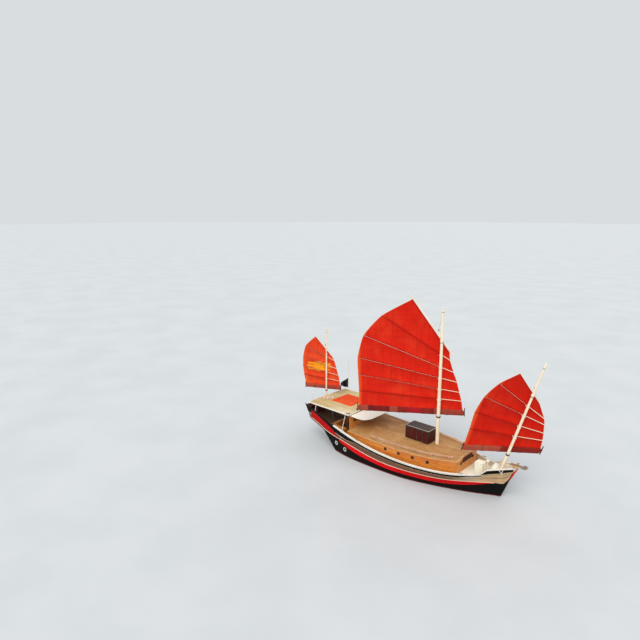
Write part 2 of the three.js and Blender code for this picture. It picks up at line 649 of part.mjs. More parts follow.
for (const [side, sign] of SIDES) {
  const door = new THREE.Group();
  door.position.set(BULKHEAD.x + BULKHEAD.thickness + DOOR.stand, sign * (DOOR.width + 2), 0);
  const [y1, y2] = sign > 0 ? [-DOOR.width, 0] : [0, DOOR.width];
  const leaf = cut(box(0, DOOR.thickness, y1, y2, DOOR.sillZ, DOOR.sillZ + DOOR.height),
    box(-10, DOOR.thickness + 10, y1 + 90, y2 - 90, DOOR.sillZ + 420, DOOR.sillZ + DOOR.height - 90));
  const knuckles = [DOOR.sillZ + 120, DOOR.sillZ + DOOR.height - 200]
    .map((z) => bar(DOOR.pin, DOOR.pin, z, z + 80, 12));
  piece(`companion_door_${side}`, join(leaf, ...knuckles), 'varnish', door);
  model.add(door);
}

// Red hatch board on the deckhouse front, hinged along its lower edge
const hatch = new THREE.Group();
hatch.position.set(frontX + RED_FRONT.stand, 0, RED_FRONT.zLow);
const { halfWidth: hatchHalf, thickness: hatchThickness, height: hatchHeight } = RED_FRONT;
const hatchBoard = box(0, hatchThickness, -hatchHalf, hatchHalf, 0, hatchHeight);
const hatchPin = rod([0, -hatchHalf + 60, 0], [0, hatchHalf - 60, 0], RED_FRONT.pin);
piece('front_hatch', join(hatchBoard, hatchPin), 'maroon', hatch);
model.add(hatch);

// Roof over the after deck

const roofRing = (x, rise) => {
  const { halfWidth: half, thickness, crown } = ROOF;
  const topZ = ROOF.topZ + rise;
  const upper = [[1, 0], [0.55, 0.75], [0.12, 1], [-0.12, 1], [-0.55, 0.75], [-1, 0]]
    .map(([y, share]) => [x, half * y, topZ + crown * share]);
  const lower = [[-half, 0], [half, 0]].map(([y]) => [x, y, topZ - thickness]);
  return [...upper, ...lower];
};
const roofRaised = (rise) => loft([ROOF.aftX, ROOF.foreX].map((x) => roofRing(x, rise)));
piece('roof', roofRaised(0), 'cream');
const roofTool = roofRaised(SEAT);

const frameParts = [];
const frameTop = ROOF.topZ - ROOF.thickness - SEAT;
const frameHalf = ROOF_POST.size / 2;
for (const [, sign] of SIDES) {
  const y = sign * (ROOF.halfWidth - ROOF_POST.inset);
  frameParts.push(box(ROOF.aftX + 120, ROOF.foreX - 40, y - frameHalf, y + frameHalf,
    frameTop - ROOF_POST.beam, frameTop));
  for (const x of ROOF_POST.places) {
    const foot = x < POOP_DECK.foreX
      ? poopUnderside(x - frameHalf) + POOP_DECK.thickness + SEAT
      : BULWARK.cockpitZ + SEAT;
    frameParts.push(box(x - frameHalf, x + frameHalf, y - frameHalf, y + frameHalf, foot, frameTop - 10));
  }
}
for (const x of ROOF_POST.places.slice(0, 2)) {
  const reach = ROOF.halfWidth - ROOF_POST.inset;
  frameParts.push(box(x - frameHalf + 5, x + frameHalf - 5, -reach, reach,
    frameTop - ROOF_POST.beam + 6, frameTop));
}
piece('roof_frame', join(...frameParts), 'darkWood');

const padTop = ROOF.topZ + ROOF.crown + SEAT;
piece('roof_pad', box(PAD.aftX, PAD.foreX, PAD.starboardY, PAD.portY, padTop, padTop + PAD.height),
  'orange');

const awningShape = new THREE.Shape();
const { foreX: awningFore, halfWidth: awningHalf, corner: awningCorner } = AWNING;
awningShape.moveTo(ROOF.foreX + 6, -awningHalf);
awningShape.lineTo(awningFore - awningCorner, -awningHalf);
awningShape.quadraticCurveTo(awningFore, -awningHalf + 100, awningFore, -awningHalf + awningCorner);
awningShape.lineTo(awningFore, awningHalf - awningCorner);
awningShape.quadraticCurveTo(awningFore, awningHalf - 100, awningFore - awningCorner, awningHalf);
awningShape.lineTo(ROOF.foreX + 6, awningHalf);
awningShape.closePath();
const awningTilt = Math.atan(AWNING.drop / (AWNING.foreX - ROOF.foreX));
const awning = new THREE.Group();
awning.position.set(ROOF.foreX, 0, AWNING.z + 40);
awning.rotation.y = awningTilt;
const awningPlate = plateXY(awningShape, 0, AWNING.thickness);
awningPlate.translate(-ROOF.foreX, 0, 0);
piece('awning', awningPlate, 'cloth', awning);
const hoopFore = AWNING.foreX - ROOF.foreX - 50;
const hoopHalf = AWNING.halfWidth - 60;
const hoopZ = -HOOP_RADIUS - SEAT;
const hoopAft = -12;
const hoopBow = tube([
  [hoopAft, -hoopHalf, hoopZ], [hoopFore - 1000, -hoopHalf, hoopZ], [hoopFore - 250, -hoopHalf + 240, hoopZ],
  [hoopFore, -hoopHalf + 1000, hoopZ], [hoopFore, 0, hoopZ], [hoopFore, hoopHalf - 1000, hoopZ],
  [hoopFore - 250, hoopHalf - 240, hoopZ], [hoopFore - 1000, hoopHalf, hoopZ], [hoopAft, hoopHalf, hoopZ],
], HOOP_RADIUS, 44, 8);
piece('awning_hoop', hoopBow, 'steel', awning);
model.add(awning);

// White hoop rail on the roof's after corner
const QUARTER_RAIL = { x: -9640, y1: -2410, y2: -2090, bend: 60, footZ: 3470, topZ: 4153, radius: 19 };
const { x: hoopX, y1: hoopY1, y2: hoopY2, bend, footZ, topZ: hoopTop } = QUARTER_RAIL;
const quarterRail = tube([
  [hoopX, hoopY1, footZ], [hoopX, hoopY1, hoopTop - bend], [hoopX, hoopY1 + bend, hoopTop],
  [hoopX, hoopY2 - bend, hoopTop], [hoopX, hoopY2, hoopTop - bend], [hoopX, hoopY2, footZ],
], QUARTER_RAIL.radius, 26, 8);
piece('stern_rail', cut(quarterRail, roofTool), 'white');

// Flagstaff on the port quarter with a plain flag
const STAFF = { x: -9400, y: 2380, top: 6600, radius: 20, hoist: 20 };
const FLAG = { length: 1100, low: 3590, high: 4660, half: 6 };
const staff = rod([STAFF.x, STAFF.y, ROOF.topZ - 20], [STAFF.x, STAFF.y, STAFF.top], STAFF.radius, 13);
piece('flagstaff', cut(staff, roofTool), 'white');
piece('flag', box(STAFF.x - FLAG.length, STAFF.x - STAFF.hoist, STAFF.y - FLAG.half, STAFF.y + FLAG.half,
  FLAG.low, FLAG.high), 'flag');

// Cockpit fittings
const benchTop = BULWARK.cockpitZ + 440;
const benchOuter = 2270;
const bench = join(
  box(-7590, -5900, -benchOuter + 30, -benchOuter + 430, BULWARK.cockpitZ + SEAT, benchTop),
  box(-7590, -5900, benchOuter - 430, benchOuter - 30, BULWARK.cockpitZ + SEAT, benchTop),
  box(-7590, -7320, -benchOuter + 30, benchOuter - 30, BULWARK.cockpitZ + SEAT, benchTop),
);
piece('cockpit_bench', bench, 'varnish');

const pedestal = box(HELM.x - 120, HELM.x + 120, -150, 150, BULWARK.cockpitZ + SEAT, HELM.z + 110);
piece('helm_pedestal', pedestal, 'varnish');

const wheelGroup = new THREE.Group();
wheelGroup.position.set(HELM.x - 122, 0, HELM.z);
const rimProfile = [];
for (let i = 0; i < 8; i += 1) {
  const a = (i / 8) * Math.PI * 2;
  rimProfile.push([HELM.radius + HELM.rim * Math.cos(a), HELM.rim * Math.sin(a)]);
}
rimProfile.push(rimProfile[0]);
const wheelParts = [lathe(rimProfile, 24), bar(48, 48, -34.4, 32, 16)];
for (let i = 0; i < 8; i += 1) {
  const a = (i / 8) * Math.PI * 2;
  const reach = HELM.radius + 110;
  wheelParts.push(rod([0, 0, 0], [reach * Math.cos(a), reach * Math.sin(a), 0], 15, 13, 8));
}
const wheel = join(...wheelParts);
wheel.rotateY(-Math.PI / 2);
wheel.translate(-33, 0, 0);
piece('helm_wheel', wheel, 'varnish', wheelGroup);
model.add(wheelGroup);

// Deck locker abaft the main mast
const LOCKER = { x1: -850, x2: 1250, half: 600, base: 2450, z: 3330, lid: 55 };
const lockerShell = cut(box(LOCKER.x1, LOCKER.x2, -LOCKER.half, LOCKER.half, 2250, LOCKER.z),
  box(LOCKER.x1 + 40, LOCKER.x2 - 40, -LOCKER.half + 40, LOCKER.half - 40, LOCKER.base + 20, LOCKER.z + 10));
const deckTool = loft(slabRings.map((entry) => entry.map(([x, y, z]) => [x, y, z + SEAT])));
const deckFill = box(LOCKER.x1 - 10, LOCKER.x2 + 10, -LOCKER.half - 10, LOCKER.half + 10, 2000, 2300);
piece('deck_locker', cut(lockerShell, deckTool, deckFill), 'maroon');
const lidGroup = new THREE.Group();
lidGroup.position.set(0, LOCKER.half, LOCKER.z + SEAT);
const lid = box(LOCKER.x1 - 25, LOCKER.x2 + 25, -2 * LOCKER.half - 25, -6, 0, LOCKER.lid);
const lidPin = rod([LOCKER.x1 + 200, 0, 11], [LOCKER.x2 - 200, 0, 11], 9, 9, 12);
piece('deck_locker_lid', join(lid, lidPin), 'black', lidGroup);
model.add(lidGroup);

// Foredeck

const FORE_LOCKER = {
  length: 570, aftX: 5330, y1: -900, y2: -330, floorZ: 1700, top: 2380, wall: 35, lid: 40,
};
const { aftX: lockerAft, y1: lockerY1, y2: lockerY2, top: lockerTop, wall: lockerWall } = FORE_LOCKER;
const lockerFore = lockerAft + FORE_LOCKER.length;
const foreShell = cut(box(lockerAft, lockerFore, lockerY1, lockerY2, 1300, lockerTop),
  box(lockerAft + lockerWall, lockerFore - lockerWall, lockerY1 + lockerWall, lockerY2 - lockerWall,
    FORE_LOCKER.floorZ, lockerTop + 10));
const hullTop = hullGeometry(0, HULL_AFT, BOW_END, (x) => deckZ(x) + SEAT);
piece('foredeck_locker', cut(foreShell, hullTop), 'cream');
const foreLid = new THREE.Group();
foreLid.position.set(lockerFore, 0, lockerTop + SEAT);
const foreLidBoard = box(-FORE_LOCKER.length - 20, -6, lockerY1 - 20, lockerY2 + 20, 0, FORE_LOCKER.lid);
const foreLidPin = rod([0, lockerY1 + 60, 10], [0, lockerY2 - 60, 10], 8);
piece('foredeck_locker_lid', join(foreLidBoard, foreLidPin), 'cream', foreLid);
model.add(foreLid);

// Covered windlass abaft the foremast
const windlassX = 6480;
const coverBody = new THREE.SphereGeometry(1, 16, 10);
coverBody.scale(250, 420, 470);
coverBody.translate(windlassX, 0, deckZ(windlassX) + 40);
piece('windlass_cover', cut(coverBody, hullTop), 'cloth');

// Planked bow platform with the anchor stowed on it
const platformZ = railZ(BOW_END) + CAP_RAIL.height + 2 * SEAT;
const platform = join(
  box(7500, 8720, -170, -60, platformZ, platformZ + 60),
  box(7500, 8720, 60, 170, platformZ, platformZ + 60),
  box(7860, 7990, -470, 470, platformZ, platformZ + 60),
  box(8560, 8690, -170, 170, platformZ, platformZ + 60),
  box(7500, 7600, -170, 170, platformZ, platformZ + 60),
);
piece('bow_platform', platform, 'tan');
const anchorZ = platformZ + 60 + SEAT;
const anchor = join(
  rod([7660, 0, anchorZ + 27], [8700, 0, anchorZ + 27], 27),
  rod([8600, -260, anchorZ + 30], [8600, 260, anchorZ + 30], 28),
  box(8380, 8640, -290, -180, anchorZ, anchorZ + 24),
  box(8380, 8640, 180, 290, anchorZ, anchorZ + 24),
);
piece('anchor', anchor, 'galvanised');

// Masts

function mastGeometry(length, radius, topRadius, bands) {
  const profile = [[0, 0], [radius, 0]];
  bands.forEach(([z, reach]) => {
    const r = lerp(radius, topRadius, (z / length) ** 1.6);
    profile.push([r, z - 45], [r + reach, z - 45], [r + reach, z], [r, z]);
  });
  profile.push([topRadius, length - 130], [topRadius * 0.6, length - 20], [0, length]);
  return lathe(profile, 20);
}

function mastRadius(z, length, radius, topRadius) {
  return lerp(radius, topRadius, (z / length) ** 1.6);
}

const COLLAR = { clear: 9, wall: 33, height: 60, armLow: 8, armHigh: 54, armHalf: 30, linkHalf: 24 };

// Ring that turns on a band of the mast, its arm along Y out to a spar, and a link from arm to spar.
function collar(mastRadiusThere, band, spar) {
  const inner = mastRadiusThere + COLLAR.clear;
  const outer = inner + COLLAR.wall;
  const [low, high] = [band + COLLAR.armLow, band + COLLAR.armHigh];
  const { armHalf, linkHalf } = COLLAR;
  return [
    ring(inner, outer, band + SEAT, band + COLLAR.height),
    box(-armHalf, armHalf, inner + COLLAR.wall / 2, spar.y, low, high),
    box(-armHalf, armHalf, spar.y - linkHalf, spar.y + linkHalf,
      Math.min(low, spar.z), Math.max(high, spar.z)),
  ];
}

// One swinging rig: boom, foot cover, sail, battens and yard on a group turned about the mast.
function rig(name, sail, mast, group) {
  const { side, boom, yard, foot, battens } = sail;
  const clothSide = side + CLOTH / 2;
  const barY = side - CLOTH / 2 - SEAT;
  const boomEnd = (s) => [s, side, boom.z + (s - boom.aft) * boom.slope];
  const boomCollar = collar(mast.radiusAt(mast.boomBand), mast.boomBand, { y: side, z: boomEnd(0)[2] });
  const boomBody = join(rod(boomEnd(boom.aft), boomEnd(boom.fore), boom.radius), ...boomCollar);
  piece(`${name}_boom`, boomBody, 'darkWood', group);

  // The cover stands on the boom, and the sail's lowest corners stand on the cover.
  const boomTop = (s) => boomEnd(s)[2] + boom.radius * Math.hypot(1, boom.slope) + SEAT;
  const coverTop = (s) => foot.high + (s - foot.aft) * boom.slope;
  const coverRings = [0, 0.33, 0.66, 1].map((share) => {
    const s = lerp(foot.aft, foot.fore, share);
    const [low, high] = [boomTop(s), coverTop(s)];
    return [[0, low], [62, low + 40], [74, (low + high) / 2], [58, high - 40], [0, high], [-58, high - 40],
      [-74, (low + high) / 2], [-62, low + 40]].map(([y, z]) => [s, side + y, z]);
  });
  piece(`${name}_foot_cover`, loft(coverRings), 'maroon', group);

  const outline = sail.outline.map(([s, t], i, all) => (
    i === 0 || i === all.length - 1 ? [s, coverTop(s) + SEAT] : [s, t]));
  piece(`${name}_sail`, plateXZ(outline, side - CLOTH / 2, clothSide), 'sail', group);

  const frame = cut(plateXZ(outline, barY - BATTEN.depth, barY),
    plateXZ(insetOutline(outline, BATTEN.width), barY - BATTEN.depth - 1, barY + 1));
  const [lowY, highY] = [barY - BATTEN.depth + BATTEN.step, barY - BATTEN.step];
  const bars = battens.map(([from, to]) => flatBar(from, to, BATTEN.width, lowY, highY));
  piece(`${name}_battens`, join(frame, ...bars), 'white', group);

  const yardY = barY - BATTEN.depth - SEAT - yard.radius;
  const yardAt = (t) => [lerp(yard.low[0], yard.high[0], t), yardY, lerp(yard.low[1], yard.high[1], t)];
  const axisShare = yard.low[0] / (yard.low[0] - yard.high[0]);
  const yardZ = lerp(yard.low[1], yard.high[1], axisShare);
  const yardCollar = collar(mast.radiusAt(mast.yardBand), mast.yardBand, { y: yardY, z: yardZ });
  piece(`${name}_yard`, join(rod(yardAt(0), yardAt(1), yard.radius), ...yardCollar), 'white', group);
}

// Flat bar between two points of the sail's plane.
function flatBar([x1, z1], [x2, z2], width, y1, y2) {
  const length = Math.hypot(x2 - x1, z2 - z1);
  const [nx, nz] = [(-(z2 - z1) / length) * (width / 2), ((x2 - x1) / length) * (width / 2)];
  return plateXZ([[x1 + nx, z1 + nz], [x1 - nx, z1 - nz], [x2 - nx, z2 - nz], [x2 + nx, z2 + nz]], y1, y2);
}

// Outline moved inward by a distance, corner by corner.
function insetOutline(outline, distance) {
  const area = outline.reduce((sum, [x, z], i) => {
    const [x2, z2] = outline[(i + 1) % outline.length];
    return sum + x * z2 - x2 * z;
  }, 0);
  const turn = Math.sign(area);
  return outline.map(([x, z], i) => {
    const before = outline[(i + outline.length - 1) % outline.length];
    const after = outline[(i + 1) % outline.length];
    const normal = ([xa, za], [xb, zb]) => {
      const length = Math.hypot(xb - xa, zb - za);
      return [(-turn * (zb - za)) / length, (turn * (xb - xa)) / length];
    };
    const [n1, n2] = [normal(before, [x, z]), normal([x, z], after)];
    const share = distance / (1 + n1[0] * n2[0] + n1[1] * n2[1]);
    return [x + (n1[0] + n2[0]) * share, z + (n1[1] + n2[1]) * share];
  });
}

// A mast with its foot cut by what it stands on, and its swinging rig.
function mastSet(name, mast, sail, standsOn) {
  const { x, z, rake, swing, foot, top, radius, topRadius, boomBand, yardBand } = mast;
  const length = top - foot;
  const stand = new THREE.Group();
  stand.position.set(x, 0, z);
  stand.rotation.y = rake * DEG;
  const mastGroup = new THREE.Group();
  mastGroup.position.z = foot;
  const pole = mastGeometry(length, radius, topRadius, [[boomBand - foot, 40], [yardBand - foot, 34]]);
  const under = standsOn.map((tool) => tool.clone().translate(-x, 0, -z).rotateY(-rake * DEG)
    .translate(0, 0, -foot));
  piece(`${name}_mast`, cut(pole, ...under), 'white', mastGroup);
  stand.add(mastGroup);
  const swinging = new THREE.Group();
  swinging.rotation.z = swing * DEG;
  const radiusAt = (height) => mastRadius(height - foot, length, radius, topRadius);
  rig(name, sail, { radiusAt, boomBand, yardBand }, swinging);
  stand.add(swinging);
  model.add(stand);
}

mastSet('main', MAIN, MAIN_SAIL, [deckTool]);
mastSet('fore', FORE, FORE_SAIL, [hullTop]);
mastSet('mizzen', MIZZEN, MIZZEN_SAIL, []);

// Rudder hung under the poop, its stock turning in the deck above
const rudderGroup = new THREE.Group();
rudderGroup.position.set(RUDDER.x, 0, 0);
const bladeOutline = [[260, RUDDER.bladeBottom], [300, RUDDER.bladeTop - 500], [120, RUDDER.bladeTop],
  [-1080, RUDDER.bladeTop], [-1180, -500], [-1150, RUDDER.bladeBottom + 120], [-900, RUDDER.bladeBottom]];
const rudderBody = join(plateXZ(bladeOutline, -RUDDER.thickness / 2, RUDDER.thickness / 2),
  bar(RUDDER.stockRadius, RUDDER.stockRadius, RUDDER.bladeTop - 400, BULWARK.cockpitZ + 20, 20),
  bar(RUDDER.flangeRadius, RUDDER.flangeRadius, BULWARK.cockpitZ + SEAT, BULWARK.cockpitZ + 55, 20));
piece('rudder', rudderBody, 'maroon', rudderGroup);
model.add(rudderGroup);

// Propeller and shaft
const screw = new THREE.Group();
screw.position.set(0, 0, SHAFT.z);
const hub = rod([SHAFT.aftX, 0, 0], [SHAFT.aftX + PROPELLER.hubLength, 0, 0], 45, PROPELLER.hubRadius, 16);
const shaft = rod([SHAFT.aftX + 20, 0, 0], [SHAFT.foreX, 0, 0], SHAFT.radius, SHAFT.radius, 16);
const BLADE_LINE = [[-22, 30], [-60, 150], [-75, 250], [-30, PROPELLER.radius], [40, PROPELLER.radius - 20],
  [70, 230], [50, 120], [22, 30]];
const blades = [];
for (let i = 0; i < PROPELLER.blades; i += 1) {
  const blade = plateXZ(BLADE_LINE, -PROPELLER.bladeHalf, PROPELLER.bladeHalf);
  blade.rotateZ(PROPELLER.pitch * DEG);
  blade.rotateX((i / PROPELLER.blades) * Math.PI * 2);
  blade.translate(SHAFT.aftX + PROPELLER.hubLength / 2, 0, 0);
  blades.push(blade);
}
piece('propeller', join(hub, shaft, ...blades), 'bronze', screw);
model.add(screw);

export default model;
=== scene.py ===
"""Looks of a three-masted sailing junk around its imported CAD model.

Metres, X forward, Y to port, Z up, Z = 0 on the waterline.
"""
import math

import bmesh
import bpy
from mathutils import Matrix, Vector, noise


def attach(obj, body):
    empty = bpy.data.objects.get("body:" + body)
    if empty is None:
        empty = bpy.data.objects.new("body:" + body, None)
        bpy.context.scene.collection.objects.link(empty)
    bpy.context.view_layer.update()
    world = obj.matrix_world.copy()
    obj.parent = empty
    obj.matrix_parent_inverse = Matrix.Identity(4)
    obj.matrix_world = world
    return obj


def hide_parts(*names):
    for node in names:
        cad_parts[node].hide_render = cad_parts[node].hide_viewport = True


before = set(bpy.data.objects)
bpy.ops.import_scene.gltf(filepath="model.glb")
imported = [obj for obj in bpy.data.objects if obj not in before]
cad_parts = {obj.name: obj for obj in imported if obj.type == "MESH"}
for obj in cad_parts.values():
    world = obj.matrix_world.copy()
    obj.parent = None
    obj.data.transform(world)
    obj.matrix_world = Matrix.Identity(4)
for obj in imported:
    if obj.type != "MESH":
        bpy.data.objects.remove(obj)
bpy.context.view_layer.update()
SIDES = (("starboard", -1), ("port", 1))
AHEAD, UP = (1, 0, 0), (0, 0, 1)

# Camera, floor and light

CAMERA_AT, CAMERA_DIP, CAMERA_TURN, CAMERA_LENS = (21.46, -34.01, 20.0), 11.614, 43.5, 29.8125
FLOOR_REACH = 900

scene = bpy.context.scene
scene.view_settings.view_transform = "Standard"
camera = bpy.data.objects.new("camera", bpy.data.cameras.new("camera"))
camera.location = CAMERA_AT
camera.rotation_euler = (math.radians(90 - CAMERA_DIP), 0, math.radians(CAMERA_TURN))
camera.data.sensor_width = 36
camera.data.lens = CAMERA_LENS
camera.data.clip_end = 1000
scene.collection.objects.link(camera)
scene.camera = camera


def rgb(code):
    """Linear colour with alpha from an sRGB hex string."""
    parts = [int(code[i:i + 2], 16) / 255 for i in (0, 2, 4)]
    return tuple(c / 12.92 if c <= 0.04045 else ((c + 0.055) / 1.055) ** 2.4 for c in parts) + (1,)


world = bpy.data.worlds.new("studio")
scene.world = world
world.use_nodes = True
world.node_tree.nodes["Background"].inputs["Color"].default_value = rgb("eef1f4")
world.node_tree.nodes["Background"].inputs["Strength"].default_value = 0.82


def lamp(name, location, energy, angle, colour):
    data = bpy.data.lights.new(name, "SUN")
    data.energy = energy
    data.color = colour
    data.angle = math.radians(angle)
    obj = bpy.data.objects.new(name, data)
    obj.location = location
    obj.rotation_euler = (-Vector(location)).to_track_quat("-Z", "Y").to_euler()
    scene.collection.objects.link(obj)


lamp("key", (12, -30, 36), 1.75, 38, (1.0, 0.96, 0.89))
lamp("fill", (-26, -24, 22), 0.45, 70, (0.93, 0.97, 1.0))
lamp("back", (-6, 34, 24), 0.35, 70, (1.0, 0.98, 0.95))

# Materials

PLANK = 0.15


class Shade:
    """One procedural material and short ways to add its nodes."""

    def __init__(self, name, rough=0.6, metal=0.0, coat=0.0, sheen=0.0, spec=0.5):
        self.mat = bpy.data.materials.new(name)
        self.mat.use_nodes = True
        self.tree = self.mat.node_tree
        self.bsdf = self.tree.nodes["Principled BSDF"]
        for key, value in (("Roughness", rough), ("Metallic", metal), ("Coat Weight", coat),
                           ("Coat Roughness", 0.18), ("Sheen Weight", sheen), ("Specular IOR Level", spec)):
            self.bsdf.inputs[key].default_value = value

    def put(self, socket, value):
        if isinstance(value, bpy.types.NodeSocket):
            self.tree.links.new(value, socket)
        else:
            socket.default_value = value

    def add(self, kind, inputs=(), **props):
        node = self.tree.nodes.new(kind)
        for key, value in props.items():
            setattr(node, key, value)
        for key, value in inputs:
            self.put(node.inputs[key], value)
        return node

    def place(self, scale=(1, 1, 1), uv=None):
        """Scaled position in metres: of the object, or of a named layer of the mesh."""
        if uv:
            source = self.add("ShaderNodeUVMap", uv_map=uv).outputs[0]
        else:
            source = self.add("ShaderNodeTexCoord").outputs["Object"]
        return self.add("ShaderNodeMapping", [("Vector", source), ("Scale", scale)]).outputs[0]

    def axis(self, vector, index):
        return self.add("ShaderNodeSeparateXYZ", [(0, vector)]).outputs[index]

    def math(self, operation, a, b=0.0):
        return self.add("ShaderNodeMath", [(0, a), (1, b)], operation=operation).outputs[0]

    def sum(self, a, b):
        return self.math("ADD", a, b)

    def less(self, a, b):
        return self.math("SUBTRACT", a, b)

    def times(self, a, b):
        return self.math("MULTIPLY", a, b)

    def rim(self, share):
        """Distance of a share from the nearer end of its strip, 0 to 0.5."""
        return self.math("MINIMUM", share, self.less(1.0, share))

    def far(self, a, b):
        return self.math("SQRT", self.sum(self.math("POWER", a, 2.0), self.math("POWER", b, 2.0)))

    def noise(self, vector, scale, detail=4.0, rough=0.55):
        return self.add("ShaderNodeTexNoise", [("Vector", vector), ("Scale", scale), ("Detail", detail),
                                               ("Roughness", rough)]).outputs[0]

    def wave(self, vector, scale, distortion, direction="X"):
        inputs = [("Vector", vector), ("Scale", scale), ("Distortion", distortion)]
        return self.add("ShaderNodeTexWave", inputs, bands_direction=direction).outputs["Fac"]

    def chance(self, number):
        return self.add("ShaderNodeTexWhiteNoise", [("W", number)], noise_dimensions="1D").outputs[0]

    def span(self, value, low, high, out_low=0.0, out_high=1.0):
        """Smooth step from out_low to out_high while value goes from low to high."""
        return self.add("ShaderNodeMapRange", [(0, value), (1, low), (2, high), (3, out_low), (4, out_high)],
                        interpolation_type="SMOOTHSTEP").outputs[0]

    def mix(self, share, a, b):
        """Share of colour b over a; a colour is a hex string or a socket."""
        a, b = [rgb(c) if isinstance(c, str) else c for c in (a, b)]
        return self.add("ShaderNodeMix", [(0, share), (6, a), (7, b)], data_type="RGBA").outputs[2]

    def bump(self, height, distance, strength):
        inputs = [("Height", height), ("Distance", distance), ("Strength", strength)]
        self.put(self.bsdf.inputs["Normal"], self.add("ShaderNodeBump", inputs).outputs[0])

    def finish(self, colour, roughness=None):
        self.put(self.bsdf.inputs["Base Color"], colour)
        if roughness is not None:
            self.put(self.bsdf.inputs["Roughness"], roughness)
        return self.mat


def paint(name, colour, worn, rough=0.5, wear=0.5, dirt=0.3, grain=(1.2, 9, 9), spec=0.3):
    """Brushed paint on wood: patches of fading, grain, runs of dirt and worn specks."""
    s = Shade(name, rough, spec=spec)
    at = s.place()
    patch = s.span(s.noise(at, 0.8, 3), 0.35, 0.7)
    lines = s.noise(s.place(grain), 5, 6)
    runs = s.span(s.noise(s.place((3.2, 3.2, 0.35)), 2.4, 5), 0.5, 0.78, 0, dirt)
    specks = s.span(s.noise(at, 13, 8, 0.7), 0.64, 0.7, 0, wear)
    base = s.mix(s.times(patch, 0.35), colour, worn)
    base = s.mix(s.span(lines, 0.3, 0.75, 0, 0.25), base, worn)
    base = s.mix(runs, base, "4a4136")
    base = s.mix(specks, base, worn)
    s.bump(s.sum(lines, s.times(specks, -0.4)), 0.004, 0.5)
    return s.finish(base, s.span(lines, 0.2, 0.8, rough - 0.08, rough + 0.14))


def boards(name, tones, width, axis=1, seam="2c2118", rough=0.6, coat=0.0, along=0, length=3.4, gap=0.045,
           bleach=0.25, bleached="b9a98e", uv=None, over=None):
    """Planks side by side, each with its own tone, with dark seams, staggered butts and long grain."""
    s = Shade(name, rough, coat=coat)
    at = s.place(uv=uv)
    ratio = s.math("DIVIDE", s.axis(at, axis), width)
    number = s.math("FLOOR", ratio)
    edge = s.rim(s.math("FRACT", ratio))
    run = s.sum(s.math("DIVIDE", s.axis(at, along), length), s.times(s.chance(number), 7.3))
    tone = s.chance(s.sum(number, s.times(s.math("FLOOR", run), 17.7)))
    grain = [0.7 if i == along else 16 for i in range(3)]
    shift = s.add("ShaderNodeCombineXYZ", [(0, s.times(tone, 40.0))]).outputs[0]
    shifted = s.add("ShaderNodeVectorMath", [(0, s.place(grain, uv)), (1, shift)]).outputs[0]
    fibre = s.noise(shifted, 2.2, 7, 0.62)
    base = s.mix(tone, tones[0], tones[1])
    base = s.mix(s.span(fibre, 0.32, 0.72), base, tones[2])
    base = s.mix(s.span(s.noise(at, 1.3, 4), 0.45, 0.75, 0, bleach), base, bleached)
    if over:
        base = over(s, base)
    seams = s.math("MAXIMUM", s.span(edge, gap, gap * 0.45), s.span(s.math("FRACT", run), 0.0022, 0.001))
    base = s.mix(s.times(seams, 0.85), base, seam)
    s.bump(s.less(s.times(fibre, 0.35), seams), 0.006, 0.7)
    return s.finish(base, s.span(fibre, 0.2, 0.8, rough - 0.08, rough + 0.12))


def roof_whitening(s, base):
    """Whiter patches that thicken towards the fore corners of the roof."""
    at = s.place()
    outward = s.span(s.math("ABSOLUTE", s.axis(at, 1)), 1.1, 2.2)
    forward = s.span(s.axis(at, 0), -8.2, -6.4)
    patchy = s.span(s.noise(at, 2.2, 5), 0.3, 0.6, 0.25, 0.6)
    return s.mix(s.times(s.times(outward, forward), patchy), base, "f3ebd4")


def side_planks():
    """Sheer planks that turn from dark brown aft over grey to tan at the bow."""
    s = Shade("side_planks", 0.68)
    at = s.place(uv="skin")
    x = s.axis(at, 0)
    ratio = s.math("DIVIDE", s.axis(at, 1), PLANK)
    number = s.math("FLOOR", s.sum(ratio, 0.002))
    run = s.sum(s.math("DIVIDE", x, 4.1), s.times(s.chance(number), 5.0))
    tone = s.chance(s.sum(number, s.times(s.math("FLOOR", run), 13.7)))
    base = s.mix(s.span(x, -3.5, 1.5), "72402a", "76492b")
    base = s.mix(s.span(x, 3.3, 5.2), base, "9c8668")
    base = s.mix(s.span(x, 5.0, 6.2), base, "c0976a")
    base = s.mix(s.times(tone, 0.5), base, "3c2417")
    fibre = s.noise(s.place((0.7, 16, 16), "skin"), 2.6, 7, 0.62)
    base = s.mix(s.span(fibre, 0.4, 0.75, 0, 0.28), base, "c49460")
    base = s.mix(s.span(s.noise(s.place(), 1.1, 4), 0.5, 0.75, 0, 0.2), base, "3a2c22")
    streak = s.span(s.noise(s.place((0.45, 24, 24), "skin"), 1.8, 3), 0.42, 0.66, 0, 0.6)
    base = s.mix(s.times(streak, s.span(x, 3.9, 5.4)), base, "efd9b2")
    base = s.mix(s.span(s.rim(s.math("FRACT", ratio)), 0.09, 0.03, 0, 0.6), base, "4e3826")
    butt = s.span(s.math("FRACT", run), 0.003, 0.001)
    base = s.mix(s.times(butt, 0.8), base, "2a221b")
    s.bump(s.less(s.times(fibre, 0.4), butt), 0.006, 0.7)
    return s.finish(base, s.span(fibre, 0.2, 0.8, 0.6, 0.8))


